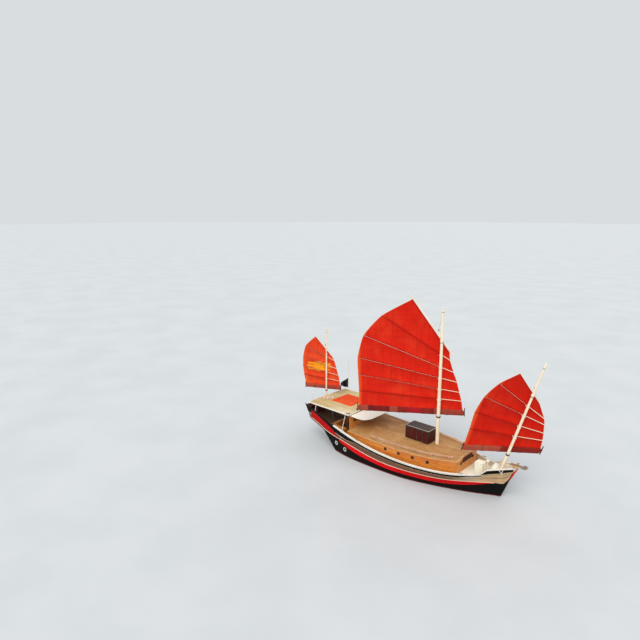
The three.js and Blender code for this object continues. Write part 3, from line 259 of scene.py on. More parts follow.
def woven(name, colour, deep, pale, uv="cloth", thread=260, sheen=0.1, patch=0.6, spec=0.15):
    """Woven cloth before it is finished: crossing threads, sun-faded patches and creases darkened with
    painted shade.
    """
    s = Shade(name, 0.85, sheen=sheen, spec=spec)
    at = s.place(uv=uv)
    weave = s.sum(s.times(s.wave(at, thread, 0.6), 0.5), s.times(s.wave(at, thread, 0.6, "Y"), 0.5))
    faded = s.span(s.noise(at, 0.55, 5), 0.42, 0.72, 0, patch)
    # streak: long darker bands of painted shade where the cloth creases
    streak = s.span(s.noise(s.place((1.0, 0.22, 1.0), uv) if uv else at, 4.0, 6), 0.45, 0.8, 0, 0.35)
    base = s.mix(faded, colour, pale)
    base = s.mix(streak, base, deep)
    base = s.mix(s.times(weave, 0.16), base, deep)
    s.bump(weave, 0.0012, 0.6)
    return s, base


def cloth(name, colour, deep, pale, **options):
    s, base = woven(name, colour, deep, pale, **options)
    return s.finish(base)


def metal(name, colour, rough, stain, amount=0.35, metallic=0.9):
    """Metal with brushed lines and stained patches."""
    s = Shade(name, rough, metallic)
    cloud = s.span(s.noise(s.place(), 7, 6), 0.45, 0.72, 0, amount)
    lines = s.noise(s.place((40, 40, 3)), 4, 3)
    s.bump(lines, 0.001, 0.4)
    shine = s.span(lines, 0.2, 0.8, rough - 0.06, rough + 0.1)
    return s.finish(s.mix(cloud, colour, stain), s.sum(shine, s.times(cloud, 0.3)))


def laid_rope(name, colour, dark):
    """Laid rope: slanting strands."""
    s = Shade(name, 0.85, sheen=0.2)
    at = s.place()
    strands = s.wave(at, 90, 1.2, "DIAGONAL")
    base = s.mix(s.span(strands, 0.2, 0.8, 0, 0.55), colour, dark)
    base = s.mix(s.span(s.noise(at, 9, 4), 0.4, 0.7, 0, 0.3), base, dark)
    s.bump(strands, 0.003, 0.8)
    return s.finish(base)


def port_glass():
    s = Shade("port_glass", 0.08, coat=0.6)
    at = s.place()
    s.bump(s.noise(at, 30, 2), 0.0006, 0.2)
    return s.finish(s.mix(s.span(s.noise(at, 3, 3), 0.4, 0.7), "0b0f12", "1d262b"))


# Sun and cloud bars of the mizzen sail, in its own metres: centre s and t, half length, half height
SUN_S, SUN_T, SUN_RADIUS = -0.80, 6.06, 0.50
CLOUD_BARS = [(-1.48, 6.32, 0.40, 0.10), (-1.62, 6.06, 0.34, 0.10), (-1.44, 5.80, 0.38, 0.10),
              (-0.10, 6.32, 0.42, 0.10), (0.08, 6.06, 0.40, 0.10), (-0.14, 5.80, 0.40, 0.10)]
SEWN_WIDTH = 0.92


def emblem_mask(s, across, up):
    """A golden sun with cloud bars on both sides."""
    far = s.far(s.less(across, SUN_S), s.less(up, SUN_T))
    mask = s.span(far, SUN_RADIUS, SUN_RADIUS - 0.02)
    for bar_s, bar_t, half, height in CLOUD_BARS:
        beyond = s.less(s.math("ABSOLUTE", s.less(across, bar_s)), half - height)
        reach = s.far(s.math("MAXIMUM", beyond, 0.0), s.less(up, bar_t))
        mask = s.math("MAXIMUM", mask, s.span(reach, height, height - 0.015))
    return mask


def sailcloth(name, colour, deep, pale, emblem=False):
    """Red sailcloth: vertical seams, painted shade in creases and at the battens, a painted glow at the
    leech, the emblem.
    """
    s, base = woven(name, colour, deep, pale, patch=0.5, sheen=0.04, spec=0.1)
    at, panel = s.place(uv="cloth"), s.place(uv="panel")
    across, up = s.axis(at, 0), s.axis(at, 1)
    from_edge, share = s.axis(panel, 0), s.axis(panel, 1)
    seam = s.rim(s.math("FRACT", s.math("DIVIDE", across, SEWN_WIDTH)))
    base = s.mix(s.times(s.span(seam, 0.02, 0.012), 0.4), base, "8c1409")
    # Darker mottling in the creases: painted shade.
    crease = s.noise(s.place((0.5, 3.2, 1), "cloth"), 1.6, 5, 0.6)
    base = s.mix(s.span(crease, 0.42, 0.75, 0, 0.28), base, "a81a0c")
    # Darker cloth close to each batten, where the panel curls: painted shade along the battens.
    base = s.mix(s.span(s.times(share, s.less(1.0, share)), 0.12, 0.0, 0, 0.35), base, "9d180b")
    # Brighter orange towards the leech: a painted glow of light shining through the thin cloth.
    base = s.mix(s.span(from_edge, 0.30, 0.02, 0, 0.55), base, "f0662a")
    if emblem:
        gold = s.mix(s.span(s.noise(at, 5.5, 5), 0.35, 0.7), "f2a824", "e08a1a")
        base = s.mix(s.times(emblem_mask(s, across, up), 0.94), base, gold)
    return s.finish(base)


M = {
    "black": paint("black_paint", "060505", "1d1713", 0.62, 0.25, 0.1, spec=0.1),
    "antifoul": paint("bottom_paint", "5e1c16", "3b120f", 0.75, 0.3, 0.5, spec=0.15),
    "red": paint("red_paint", "e4040e", "a00a0c", 0.55, 0.25, 0.12, spec=0.1),
    "wing": paint("wing_paint", "bc050c", "7e090a", 0.55, 0.3, 0.2, spec=0.1),
    "white": paint("white_paint", "efebe0", "c4b9a4", 0.45, 0.35, 0.2),
    "cream": paint("cream_paint", "e0d6b8", "a99a78", 0.5, 0.4, 0.35),
    "line": paint("cream_line", "e7dfc9", "a79b83", 0.5, 0.3, 0.3),
    "maroon": paint("maroon_paint", "541310", "330c0a", 0.5, 0.35, 0.25, spec=0.2),
    "boot": paint("boot_top", "6c1710", "42100c", 0.65, 0.3, 0.35, spec=0.15),
    "mast": paint("mast_paint", "faecd0", "dcc49c", 0.48, 0.25, 0.14, (9, 9, 0.8)),
    "white_deck": paint("white_deck", "f6f0dc", "cfc4a6", 0.6, 0.35, 0.25),
    "seam_grey": paint("roof_seams", "8f8568", "6d6450", 0.7, 0.3, 0.4),
    "dark_brown": paint("dark_brown_paint", "2a1512", "4a2a22", 0.5, 0.3, 0.3),
    "dark": boards("dark_wood", ("2a1b12", "3a2618", "1c120c"), 0.4, rough=0.55, gap=0.0),
    "varnish_skin": boards("varnished_sides", ("dd7d22", "f8a646", "b65c1a"), PLANK, seam="4a250c", rough=0.4,
                           coat=0.15, length=3.1, bleach=0.2, bleached="eba757", uv="skin"),
    "joinery": boards("varnished_joinery", ("df8b34", "ec9f48", "bf722c"), 0.12, seam="5a3216", rough=0.4,
                      coat=0.15, along=2, length=9.0, gap=0.03, bleach=0.15, bleached="dc9848"),
    "deck": boards("deck_planks", ("b27c42", "d09c60", "96683a"), 0.13, seam="4a331d", rough=0.75, length=3.8,
                   gap=0.05, bleach=0.4, bleached="c9a872"),
    "sole": boards("cockpit_sole", ("5f4026", "6d4a2c", "4a301b"), 0.11, seam="21160e", rough=0.7, length=2.9,
                   gap=0.05, bleach=0.3, bleached="7d6244"),
    "roof": boards("roof_planks", ("c5b07c", "d2bf8e", "b09a66"), 0.2, seam="8b7b56", length=5.0, gap=0.03,
                   bleach=0.3, bleached="e2d6b0", over=roof_whitening),
    "platform": boards("bow_platform_planks", ("c19a66", "d3b07c", "9c7546"), PLANK, seam="54402a",
                       length=3.6, bleach=0.35, bleached="ddc9a2"),
    "tan_trim": boards("tan_trim", ("c79a62", "d6ad78", "a87c4a"), 0.5, seam="4a3622", rough=0.55, length=2.6,
                       bleach=0.4, bleached="dcc59a"),
    "rail_wood": boards("rail_wood", ("dcab86", "e6bd9c", "c4926c"), 0.3, seam="6b4630", rough=0.5,
                        length=1.7, bleach=0.5, bleached="eedaca"),
    "side_planks": side_planks(),
    "orange": cloth("orange_cloth", "dc4712", "a5300b", "e8602a", uv=None, thread=120, sheen=0.04),
    "canvas": cloth("white_canvas", "ece7da", "c9c1ac", "f5f2ea", uv=None, thread=150, patch=0.5),
    "flag": cloth("black_cloth", "121214", "060607", "222226", uv=None, thread=200),
    "foot_maroon": cloth("foot_maroon", "861e15", "54100b", "9c3626"),
    "foot_dusty": cloth("foot_dusty", "9f4231", "6c2a1d", "b05a42"),
    "foot_crimson": cloth("foot_crimson", "9c1019", "640a0f", "b02028"),
    "foot_dark": cloth("foot_dark", "6e100e", "460908", "862220"),
    "hem": cloth("sail_hem", "e8702f", "c04c1c", "f29a5c", uv=None),
    # Pocket cloth a deeper red than the sails: its own red, darkened further as painted shade under each
    # batten.
    "pocket": cloth("batten_pockets_painted_shade", "a8160a", "740c05", "c03018", uv=None, sheen=0.04, spec=0.1),
    "main_cloth": sailcloth("main_sailcloth", "da2210", "900f06", "ea4624"),
    "fore_cloth": sailcloth("fore_sailcloth", "d01b09", "860e05", "de3a1c"),
    "mizzen_cloth": sailcloth("mizzen_sailcloth", "e64522", "aa2812", "f26c38", True),
    "steel": metal("steel", "b9bcbd", 0.32, "7c7f80"),
    "iron": metal("galvanised_iron", "8c8f90", 0.5, "6a5646", 0.6, 0.75),
    "bronze": metal("bronze", "8d6b35", 0.38, "3f5a45", 0.5),
    "dark_bronze": metal("dark_bronze", "3a2a1a", 0.4, "1c140d", 0.4, 0.7),
    "rope": laid_rope("rope", "cdbf9d", "8a7a58"),
    "dark_rope": laid_rope("dark_rope", "4b3f30", "241d15"),
    "glass": port_glass(),
}

# Mesh helpers


def lerp(a, b, t):
    return a + (b - a) * t


def clamp(value):
    return min(max(value, 0), 1)


def spread(a, b, count):
    """Count even steps from a to b, both ends among them."""
    return [lerp(a, b, i / count) for i in range(count + 1)]


def write_back(grid, mesh):
    """Faces of a bmesh turned outward and put into the mesh."""
    bmesh.ops.recalc_face_normals(grid, faces=grid.faces)
    grid.to_mesh(mesh)
    grid.free()


def cut_away(mesh, point, normal, material):
    """Takes off what lies behind a plane and closes the hole."""
    grid = bmesh.new()
    grid.from_mesh(mesh)
    cut = bmesh.ops.bisect_plane(grid, geom=grid.verts[:] + grid.edges[:] + grid.faces[:], dist=1e-5,
                                 plane_co=point, plane_no=normal, clear_inner=True)
    rim = [item for item in cut["geom_cut"] if isinstance(item, bmesh.types.BMEdge)]
    for item in bmesh.ops.triangle_fill(grid, edges=rim, use_beauty=True)["geom"]:
        if isinstance(item, bmesh.types.BMFace):
            item.material_index = list(mesh.materials).index(M[material])
            item.smooth = False
    write_back(grid, mesh)


class Parts:
    """Vertices and faces of one piece, gathered from simple shapes, each with its material."""

    def __init__(self, material=None):
        self.material = material
        self.verts, self.faces, self.keys = [], [], []

    def add(self, shape, material=None):
        verts, faces, keys = shape
        start = len(self.verts)
        self.verts += [Vector(v) for v in verts]
        self.faces += [[start + i for i in face] for face in faces]
        self.keys += keys or [material or self.material] * len(faces)
        return self

    def make(self, name, slot, stands_for=None, body="ship", angle=38, uvs=None, matrix=None):
        """The piece as an object that rides on a body; uvs are layers of one pair a vertex."""
        mesh = bpy.data.meshes.new(name)
        mesh.from_pydata([tuple(matrix @ v if matrix else v) for v in self.verts], [], self.faces)
        keys = list(dict.fromkeys(self.keys))
        for key in keys:
            mesh.materials.append(M[key])
        mesh.polygons.foreach_set("material_index", [keys.index(key) for key in self.keys])
        for layer, values in (uvs or {}).items():
            data = mesh.uv_layers.new(name=layer).data
            for loop in mesh.loops:
                data[loop.index].uv = values[loop.vertex_index]
        grid = bmesh.new()
        grid.from_mesh(mesh)
        write_back(grid, mesh)
        mesh.shade_smooth()
        mesh.set_sharp_from_angle(angle=math.radians(angle))
        obj = bpy.data.objects.new(name, mesh)
        scene.collection.objects.link(obj)
        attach(obj, body)
        if stands_for:
            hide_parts(stands_for)
        return obj


def skin(rings, wrap=False):
    """Faces between neighbouring rings of equal count; wrap joins the last ring to the first."""
    n, count = len(rings), len(rings[0])
    return [[i * count + j, i * count + (j + 1) % count,
             (i + 1) % n * count + (j + 1) % count, (i + 1) % n * count + j]
            for i in range(n if wrap else n - 1) for j in range(count)]


def loft(rings, bands=None):
    """Closed body over rings; bands gives the material of each strip along the ring."""
    count, last = len(rings[0]), (len(rings) - 1) * len(rings[0])
    caps = [list(range(count))[::-1], list(range(last, last + count))]
    keys = bands and bands * (len(rings) - 1) + [bands[0]] * 2
    return [v for ring in rings for v in ring], skin(rings) + caps, keys


def block(x1, x2, y1, y2, z1, z2, chamfer=0.006):
    """Box with all its edges chamfered."""
    c = min(chamfer, (x2 - x1) / 2.2, (y2 - y1) / 2.2, (z2 - z1) / 2.2)
    return loft([[(x1 + c, y1 + d, z), (x2 - c, y1 + d, z), (x2 - d, y1 + c, z), (x2 - d, y2 - c, z),
                  (x2 - c, y2 - d, z), (x1 + c, y2 - d, z), (x1 + d, y2 - c, z), (x1 + d, y1 + c, z)]
                 for z, d in ((z1, c), (z1 + c, 0), (z2 - c, 0), (z2, c))])


def axes(direction):
    """A direction and two unit vectors at right angles to it."""
    direction = Vector(direction).normalized()
    u = direction.orthogonal().normalized()
    return direction, u, direction.cross(u)


def round_about(u, v, share):
    """Unit vector at a share of a full turn from u towards v."""
    return u * math.cos(2 * math.pi * share) + v * math.sin(2 * math.pi * share)


def tube(points, radius, sides=8, closed=False):
    """Round bar along a path; its section is carried without twist. The radius may be one for each point."""
    points = [Vector(p) for p in points]
    radii = radius if isinstance(radius, list) else [radius] * len(points)
    count, side, rings = len(points), None, []
    for i, (point, r) in enumerate(zip(points, radii)):
        a = points[(i - 1) % count] if closed or i else point
        b = points[(i + 1) % count] if closed or i < count - 1 else point
        tangent = (b - a).normalized()
        if side is None:
            side = tangent.orthogonal().normalized()
        side = (side - tangent * side.dot(tangent)).normalized()
        up = tangent.cross(side)
        rings.append([point + round_about(side, up, k / sides) * r for k in range(sides)])
    return ([v for ring in rings for v in ring], skin(rings, True), None) if closed else loft(rings)


def hoop(centre, radius, thick, normal=UP, count=24, sides=8):
    _, u, v = axes(normal)
    ring = [Vector(centre) + round_about(u, v, k / count) * radius for k in range(count)]
    return tube(ring, thick, sides, closed=True)


def lathe(profile, centre=(0, 0, 0), direction=UP, sides=24):
    """Turned body: profile of (radius, height) along direction."""
    direction, u, v = axes(direction)
    return loft([[Vector(centre) + direction * z + round_about(u, v, k / sides) * max(r, 1e-4)
                  for k in range(sides)] for r, z in profile])


def strip(points, half_width, height, across=UP, chamfer=0.006):
    """Bar of chamfered section along a path; across is the direction of its half width."""
    across = Vector(across).normalized()
    points = [Vector(p) for p in points]
    w, h, c = half_width, height / 2, min(chamfer, half_width / 2.2, height / 4.4)
    section = ((-w + c, -h), (w - c, -h), (w, -h + c), (w, h - c),
               (w - c, h), (-w + c, h), (-w, h - c), (-w, -h + c))
    rings = []
    for i, point in enumerate(points):
        along = points[min(i + 1, len(points) - 1)] - points[max(i - 1, 0)]
        up = along.normalized().cross(across).normalized()
        rings.append([point + across * a + up * b for a, b in section])
    return loft(rings)


def side_loft(sign, xs, rows_at, bands=None):
    """Body on one side of the boat through its sections of (y, z) at each x."""
    return loft([[(x, sign * y, z) for y, z in rows_at(x)] for x in xs], bands)


def build_sides(name, slot, node, xs, rows_at, bands, angle=30, uv_rows=(), aft=None, clip=None):
    """The same body on both sides. Behind the station aft[0] materials change as aft[1] says."""
    for side, sign in SIDES:
        verts, faces, keys = side_loft(sign, xs, rows_at, bands)
        if aft:
            keys = [aft[1].get(key, key) if verts[face[0]][0] < aft[0] else key
                    for face, key in zip(faces, keys)]
        obj = Parts().add((verts, faces, keys)).make(
            "%s_%s" % (name, side), slot, node and "%s_%s" % (node, side), angle=angle,
            uvs=uv_rows and {"skin": [(x, v) for x in xs for v in uv_rows]})
        if clip:
            cut_away(obj.data, *clip, bands[0])


# Lines of the hull: at each station x, z of bottom, half breadth at bottom, at waterline, at rail,
# z of rail, z of the wale's lower and upper edge
LINES = [
    (-10.34, 0.90, 1.40, 2.30, 2.40, 3.23, 2.30, 2.50), (-9.20, 0.30, 1.50, 2.35, 2.52, 2.93, 2.00, 2.20),
    (-7.95, -0.40, 0.06, 2.42, 2.69, 2.62, 1.50, 1.80), (-6.50, -0.78, 0.06, 2.60, 2.85, 2.31, 1.23, 1.48),
    (-5.30, -0.93, 0.06, 2.82, 2.93, 2.04, 0.96, 1.30), (-4.00, -1.04, 0.06, 2.90, 2.99, 1.80, 0.68, 1.11),
    (-2.50, -1.11, 0.06, 2.89, 3.01, 1.59, 0.50, 0.89), (-1.00, -1.14, 0.06, 2.81, 3.01, 1.48, 0.40, 0.79),
    (0.50, -1.13, 0.06, 2.62, 2.96, 1.44, 0.42, 0.805), (1.80, -1.09, 0.06, 2.26, 2.83, 1.45, 0.42, 0.84),
    (3.00, -1.02, 0.06, 1.85, 2.56, 1.465, 0.45, 0.875), (4.00, -0.93, 0.06, 1.46, 2.21, 1.50, 0.54, 0.94),
    (5.00, -0.80, 0.06, 1.04, 1.72, 1.59, 0.70, 1.03), (5.95, -0.56, 0.06, 0.56, 1.21, 1.77, 0.93, 1.11),
    (6.60, -0.26, 0.055, 0.20, 0.92, 2.215, 1.10, 1.15), (7.00, 0.0, 0.05, 0.05, 0.76, 2.32, 1.15, 1.16),
    (7.26, 0.66, 0.055, 0.055, 0.66, 2.39, 1.15, 1.16), (7.53, 1.40, 0.08, 0.08, 0.56, 2.465, 1.50, 1.51),
    (7.80, 2.01, 0.28, 0.28, 0.47, 2.545, 2.10, 2.11), (7.96, 2.37, 0.40, 0.40, 0.425, 2.60, 2.38, 2.39),
]
BOTTOM, B_BOTTOM, B_WATER, B_RAIL, Z_RAIL, WALE_LOW, WALE_HIGH = range(1, 8)
STERN_END, HULL_AFT, BOW_END = -10.34, -7.95, 7.96
WALE_AFT, WALE_FORE, RAIL_AFT = -5.9, 6.7, -6.6
# The deck steps up at STEP, and the rail ramps up from RAMP_FOOT over RAMP_HEAD to RAMP_END
STEP, RAMP_FOOT, RAMP_HEAD, RAMP_END, RAMP_Z, RAMP_END_Z = 6.0, 5.95, 6.33, 6.6, 2.14, 2.215
FORE_DECK = [(6.0, 1.73), (7.4, 2.15), (7.96, 2.372)]
COCKPIT_Z, POOP_FORE, POOP_SLOPE, BULWARK, SEAT = 1.52, -7.6, 0.26, 0.06, 0.0004
# x, half breadth of the deckhouse side, z of its top at the edge
HOUSE = [(-5.2046, 2.59, 2.19), (-3.6, 2.60, 2.14), (-2.0, 2.60, 2.11), (-0.4, 2.56, 2.105),
         (1.0, 2.44, 2.115), (2.2, 2.21, 2.14), (3.3, 1.86, 2.175), (4.25, 1.51, 2.215)]
HOUSE_AFT, HOUSE_FORE, CROWN, EAVE, SLAB = -5.2046, 4.25, 0.23, 0.045, 0.06


def column(table, index, x):
    """Value of a table's column at x, in straight lines between its rows."""
    if x <= table[0][0]:
        return table[0][index]
    for low, high in zip(table, table[1:]):
        if x < high[0]:
            return lerp(low[index], high[index], (x - low[0]) / (high[0] - low[0]))
    return table[-1][index]


def smooth_column(table, index, x):
    """Value of a table's column at x, on a smooth curve through its rows."""
    row = next((i for i, entry in enumerate(table) if entry[0] > x), len(table) - 1)
    (x1, y1), (x2, y2) = [(table[i][0], table[i][index]) for i in (row - 1, row)]

    def gradient(i):
        before, after = table[max(i - 1, 0)], table[min(i + 1, len(table) - 1)]
        return (after[index] - before[index]) / (after[0] - before[0])

    width, t = x2 - x1, (x - x1) / (x2 - x1)
    m1, m2 = gradient(row - 1) * width, gradient(row) * width
    return ((2 * t ** 3 - 3 * t ** 2 + 1) * y1 + (t ** 3 - 2 * t ** 2 + t) * m1
            + (3 * t ** 2 - 2 * t ** 3) * y2 + (t ** 3 - t ** 2) * m2)


def faired_lines():
    """The hull's lines at closer stations, smooth where the hull is smooth."""
    rows = []
    for low, high in zip(LINES, LINES[1:]):
        count = max(1, round((high[0] - low[0]) / 0.45))
        for part in range(count):
            x = lerp(low[0], high[0], part / count)
            value = smooth_column if HULL_AFT < x < RAMP_FOOT else column
            rows.append((x,) + tuple(value(LINES, i, x) for i in range(1, 8)))
    rows.append(LINES[-1])
    for x in (WALE_AFT, WALE_FORE, HOUSE_FORE, RAIL_AFT, RAMP_HEAD, STEP - 0.001, STEP):
        rows.append((x,) + tuple(column(rows, i, x) for i in range(1, 8)))
        rows.sort()
    return rows


FAIRED = faired_lines()


def line(index, x):
    return column(FAIRED, index, x)


def rail_y(x):
    return line(B_RAIL, x)


def rail_z(x):
    if RAMP_FOOT < x < RAMP_END:
        ramp = [(RAMP_FOOT, line(Z_RAIL, RAMP_FOOT)), (RAMP_HEAD, RAMP_Z), (RAMP_END, RAMP_END_Z)]
        return column(ramp, 1, x)
    return line(Z_RAIL, x)


def deck_z(x):
    return column(FORE_DECK, 1, x) if x >= STEP else min(rail_z(x) - 0.28, COCKPIT_Z)


def skin_y(x, z):
    """Half breadth of the hull at a height."""
    bottom = line(BOTTOM, x)
    if z < 0 and bottom < 0:
        return lerp(line(B_BOTTOM, x), line(B_WATER, x), (1 - min(z / bottom, 1) ** 2.4) ** 0.62)
    low = max(bottom, 0)
    rise = max(0, (z - low) / (rail_z(x) - low))
    return lerp(line(B_WATER if bottom < 0 else B_BOTTOM, x), rail_y(x), rise ** 0.85)


def stations(x1, x2, step=0.22):
    """Places along the boat from x1 to x2, with all the stations of its lines."""
    count = int((x2 - x1) / step)
    xs = {round(x, 4) for x in spread(x1, x2, count)}
    xs |= {round(row[0], 4) for row in FAIRED if x1 + 0.02 < row[0] < x2 - 0.02}
    ordered = sorted(xs)
    return [x for i, x in enumerate(ordered) if i in (0, len(ordered) - 1) or x - ordered[i - 1] > 0.004]


def bulwark_low(x):
    if x < HULL_AFT + 0.001:
        return COCKPIT_Z + SEAT + (POOP_FORE - x) * POOP_SLOPE - 0.06
    return deck_z(x) + SEAT


def bulwark_y(x, z):
    low = bulwark_low(x)
    foot = rail_y(x) - (rail_z(x) - low) * 0.06 if x < HULL_AFT else skin_y(x, low)
    return lerp(foot, rail_y(x), clamp((z - low) / (rail_z(x) - low)))


def outside_y(x, z):
    return skin_y(x, z) if z < bulwark_low(x) else bulwark_y(x, z)


# Hull

BOOT_LOW, BOOT_HIGH = -0.05, 0.085
WHITE_DECK_AFT, SOLE_FORE, INSIDE_V = 4.15, -5.3, 9.0
STERN_CUT = ((-6.5, 0, 0), (1, 0, 1 / 1.086))
TRANSOM_CUT = ((-9.64, 0, 1.94), (1, 0, 0.543))


def groove_shares(count, cut=0.006, half=0.035):
    """Shares and insets of count planks, with a groove between neighbours."""
    rows = [(0.0, 0.0)]
    for i in range(1, count):
        at = i / count
        rows += [(at - half / count, 0.0), (at, cut), (at + half / count, 0.0)]
    return rows + [(1.0, 0.0)]


def zone(low, high, shares):
    return [(lerp(low, high, share), inset) for share, inset in shares]


def with_back(rows, thickness):
    """Outer rows of a wall and the two corners of its inner face."""
    return rows + [(rows[-1][0] - thickness, rows[-1][1]), (rows[0][0] - thickness, rows[0][1])]


BLACK_PLANKS, SIDE_PLANKS = groove_shares(4), groove_shares(3)
HULL_BANDS = (["antifoul"] * 6 + ["boot"] + ["black"] * len(BLACK_PLANKS)
              + ["side_planks"] * (len(SIDE_PLANKS) - 1))
SHEER_SEAMS = [PLANK * (2 * share + 3) for share, _ in SIDE_PLANKS]


def hull_rows(x):
    """Heights and insets of the skin from the keel to the deck edge."""
    bottom, top = line(BOTTOM, x), deck_z(x)
    wale_low = max(line(WALE_LOW, x), BOOT_HIGH + 0.05)
    wale_high = min(max(line(WALE_HIGH, x), wale_low + 0.01), top - 0.05)
    rows = [(lerp(bottom, BOOT_LOW, share), 0.0) for share in (0, 0.05, 0.16, 0.34, 0.56, 0.78, 1)]
    rows += zone(BOOT_HIGH, wale_low, BLACK_PLANKS) + zone(wale_high, top, SIDE_PLANKS)
    return [(max(z, bottom + 0.0005 * i), inset) for i, (z, inset) in enumerate(rows)]


def build_hull():
    rings, uvs = [], []
    for x in stations(HULL_AFT, BOW_END, 0.2):
        top = deck_z(x)
        side = [(max(skin_y(x, min(z, top)) - inset, 0.01), min(z, top)) for z, inset in hull_rows(x)]
        rings.append([(x, -y, z) for y, z in side] + [(x, y, z) for y, z in side[::-1]])
        values = [-1.0] * (len(side) - len(SHEER_SEAMS)) + SHEER_SEAMS
        uvs += [(x, v) for v in values + values[::-1]]
    verts, faces, keys = loft(rings, HULL_BANDS + ["deck"] + HULL_BANDS[::-1] + ["antifoul"])
    for i, face in enumerate(faces):
        if keys[i] == "deck" and verts[face[0]][0] > WHITE_DECK_AFT:
            keys[i] = "white_deck"
        elif keys[i] == "deck" and verts[face[0]][0] <= SOLE_FORE:
            keys[i] = "sole"
    hull = Parts().add((verts, faces, keys))
    obj = hull.make("hull_skin", "black_paint", "hull", angle=30, uvs={"skin": uvs})
    cut_away(obj.data, *STERN_CUT, "black")


build_hull()

WHITE_EDGE, CREAM_LINE, BOW_EDGE = 0.09, 0.04, 0.035


def bulwark_rows(x):
    """Bulwark from the deck up: sheer planks, a cream line, the black strake and a white edge."""
    low, high = bulwark_low(x), rail_z(x)
    strake = lerp(0.33, 0.46, clamp((-4.4 - x) / 1.8))
    strake = lerp(strake, 0.09, clamp((x - 3.6) / 1.6))
    black = max(high - WHITE_EDGE - strake, low + 0.02)
    cream = max(black - CREAM_LINE, low + 0.01)
    white = high - WHITE_EDGE
    heights = [low, cream, cream + 0.004, black - 0.002, black, white, white + 0.002, high]
    proud = [0, 0, 0.012, 0.012, 0.004, 0.004, 0.012, 0.012]
    return with_back([(bulwark_y(x, z) + out, z) for z, out in zip(heights, proud)], BULWARK)


def bow_rows(x):
    """Black strake at the bow with its white upper edge."""
    low, high = deck_z(x) + SEAT, rail_z(x)
    edge = high - BOW_EDGE
    rows = [(low, 0.0), (low + 0.01, 0.014), (edge, 0.014), (edge + 0.002, 0.006), (high, 0.006)]
    foot, head = skin_y(x, low), rail_y(x)
    return with_back([(lerp(foot, head, (z - low) / (high - low)) + out, z) for z, out in rows], BULWARK)


build_sides("bulwark", "black_paint", "bulwark", stations(STERN_END, STEP - 0.001, 0.2), bulwark_rows,
            ["side_planks", "line", "line", "line", "black", "white", "white"] + ["cream"] * 3,
            uv_rows=[PLANK * 6, PLANK * 6.99] + [PLANK * 7.5] * 6 + [INSIDE_V] * 2,
            aft=(-6.61, {"white": "black", "cream": "dark"}), clip=TRANSOM_CUT)
build_sides("bow_strake", "black_paint", None, stations(STEP + 0.001, BOW_END - 0.04, 0.12), bow_rows,
            ["black"] * 2 + ["white"] * 5)


def build_bow_closing():
    """Board that closes the bow between the strakes."""
    half, low, high = rail_y(BOW_END) - 0.012, deck_z(BOW_END) + 0.0015, rail_z(BOW_END - 0.1)
    parts = Parts("white").add(block(BOW_END - 0.1, BOW_END - 0.04, -half, half, low, high))
    parts.make("bow_closing", "black_paint", "bow_bulwark")


def cap_rail_rows(x):
    """Section of the rail with rounded edges; it thins towards its after end."""
    out, into, height, round_off = 0.045, 0.105, 0.07, 0.018
    y, z = rail_y(x), rail_z(x) + SEAT
    h = lerp(0.02, height, min((x - RAIL_AFT) / 0.5, 1) ** 0.5)
    r = min(round_off, h / 2.5)
    rows = []
    for quarter, (cy, cz) in enumerate(((y + out - r, z + h - r), (y - into + r, z + h - r),
                                        (y - into + r, z + r), (y + out - r, z + r))):
        for step in (0, 45, 90):
            a = math.radians(90 * quarter + step)
            rows.append((cy + r * math.cos(a), cz + r * math.sin(a)))
    return rows


def build_cap_rail():
    """White rail along both sides, closed across the bow."""
    parts = Parts("white")
    for _, sign in SIDES:
        parts.add(side_loft(sign, stations(RAIL_AFT, BOW_END - 0.005, 0.15), cap_rail_rows))
    half, z = rail_y(BOW_END) + 0.03, rail_z(BOW_END)
    parts.add(block(BOW_END - 0.11, BOW_END - 0.001, -half, half, z + 0.001, z + 0.069, 0.015))
    parts.make("cap_rail_white", "white_paint", "cap_rail", angle=40)


build_bow_closing()
build_cap_rail()


def wale_rows(x):
    """Red wale with a seam at mid height and a cream line along its upper edge."""
    low, high = line(WALE_LOW, x), line(WALE_HIGH, x)
    y1, y2, middle = skin_y(x, low), skin_y(x, high), (low + high) / 2
    mid, rise = lerp(y1, y2, 0.5), min(0.016, (high - low) / 3)
    return [(y1 - 0.01, low), (y1 + 0.026, low + 0.001), (y1 + 0.038, low + rise),
            (mid + 0.036, middle - 0.003), (mid + 0.034, middle), (mid + 0.036, middle + 0.003),
            (y2 + 0.038, high - rise - 0.014), (y2 + 0.03, high - rise - 0.005), (y2 + 0.036, high - rise),
            (y2 + 0.034, high + 0.012), (y2 - 0.01, high + 0.014)]


WING_AFT, WING_FORE = -9.5, -5.95
# x, z of the lower edge, z of the upper edge
WING_LINES = [(WING_AFT, 2.11, 2.86), (-9.06, 2.05, 2.78), (-8.23, 1.83, 2.52), (-7.33, 1.55, 2.215),
              (-6.6, 1.42, 1.90), (WING_FORE, 1.32, 1.40)]


def wing_rows(x):
    """Red wing panel: framed boards with a cream line below and a dark moulding above."""
    low, high = column(WING_LINES, 1, x), column(WING_LINES, 2, x)
    y = outside_y(x, high) + 0.03
    step = min(0.045, (high - low) / 4)
    rows = [(y - 0.05, low), (y + 0.004, low), (y + 0.004, low + step * 0.8), (y - 0.006, low + step)]
    for share in (0.36, 0.68):
        z = lerp(low + step, high - step, share)
        rows += [(y - 0.006, z - 0.004), (y - 0.012, z), (y - 0.006, z + 0.004)]
    return rows + [(y - 0.006, high - step), (y + 0.002, high - step * 0.8), (y + 0.002, high),
                   (y - 0.05, high)]


build_sides("red_wale", "red_paint", "wale", stations(WALE_AFT, WALE_FORE, 0.2), wale_rows,
            ["red"] * 7 + ["line"] * 3 + ["red"], 35)
build_sides("wing", "red_paint", "wing_panel", stations(WING_AFT, WING_FORE, 0.2), wing_rows,
            ["line"] * 3 + ["wing"] * 7 + ["maroon"] * 3 + ["wing"])

# Deckhouse

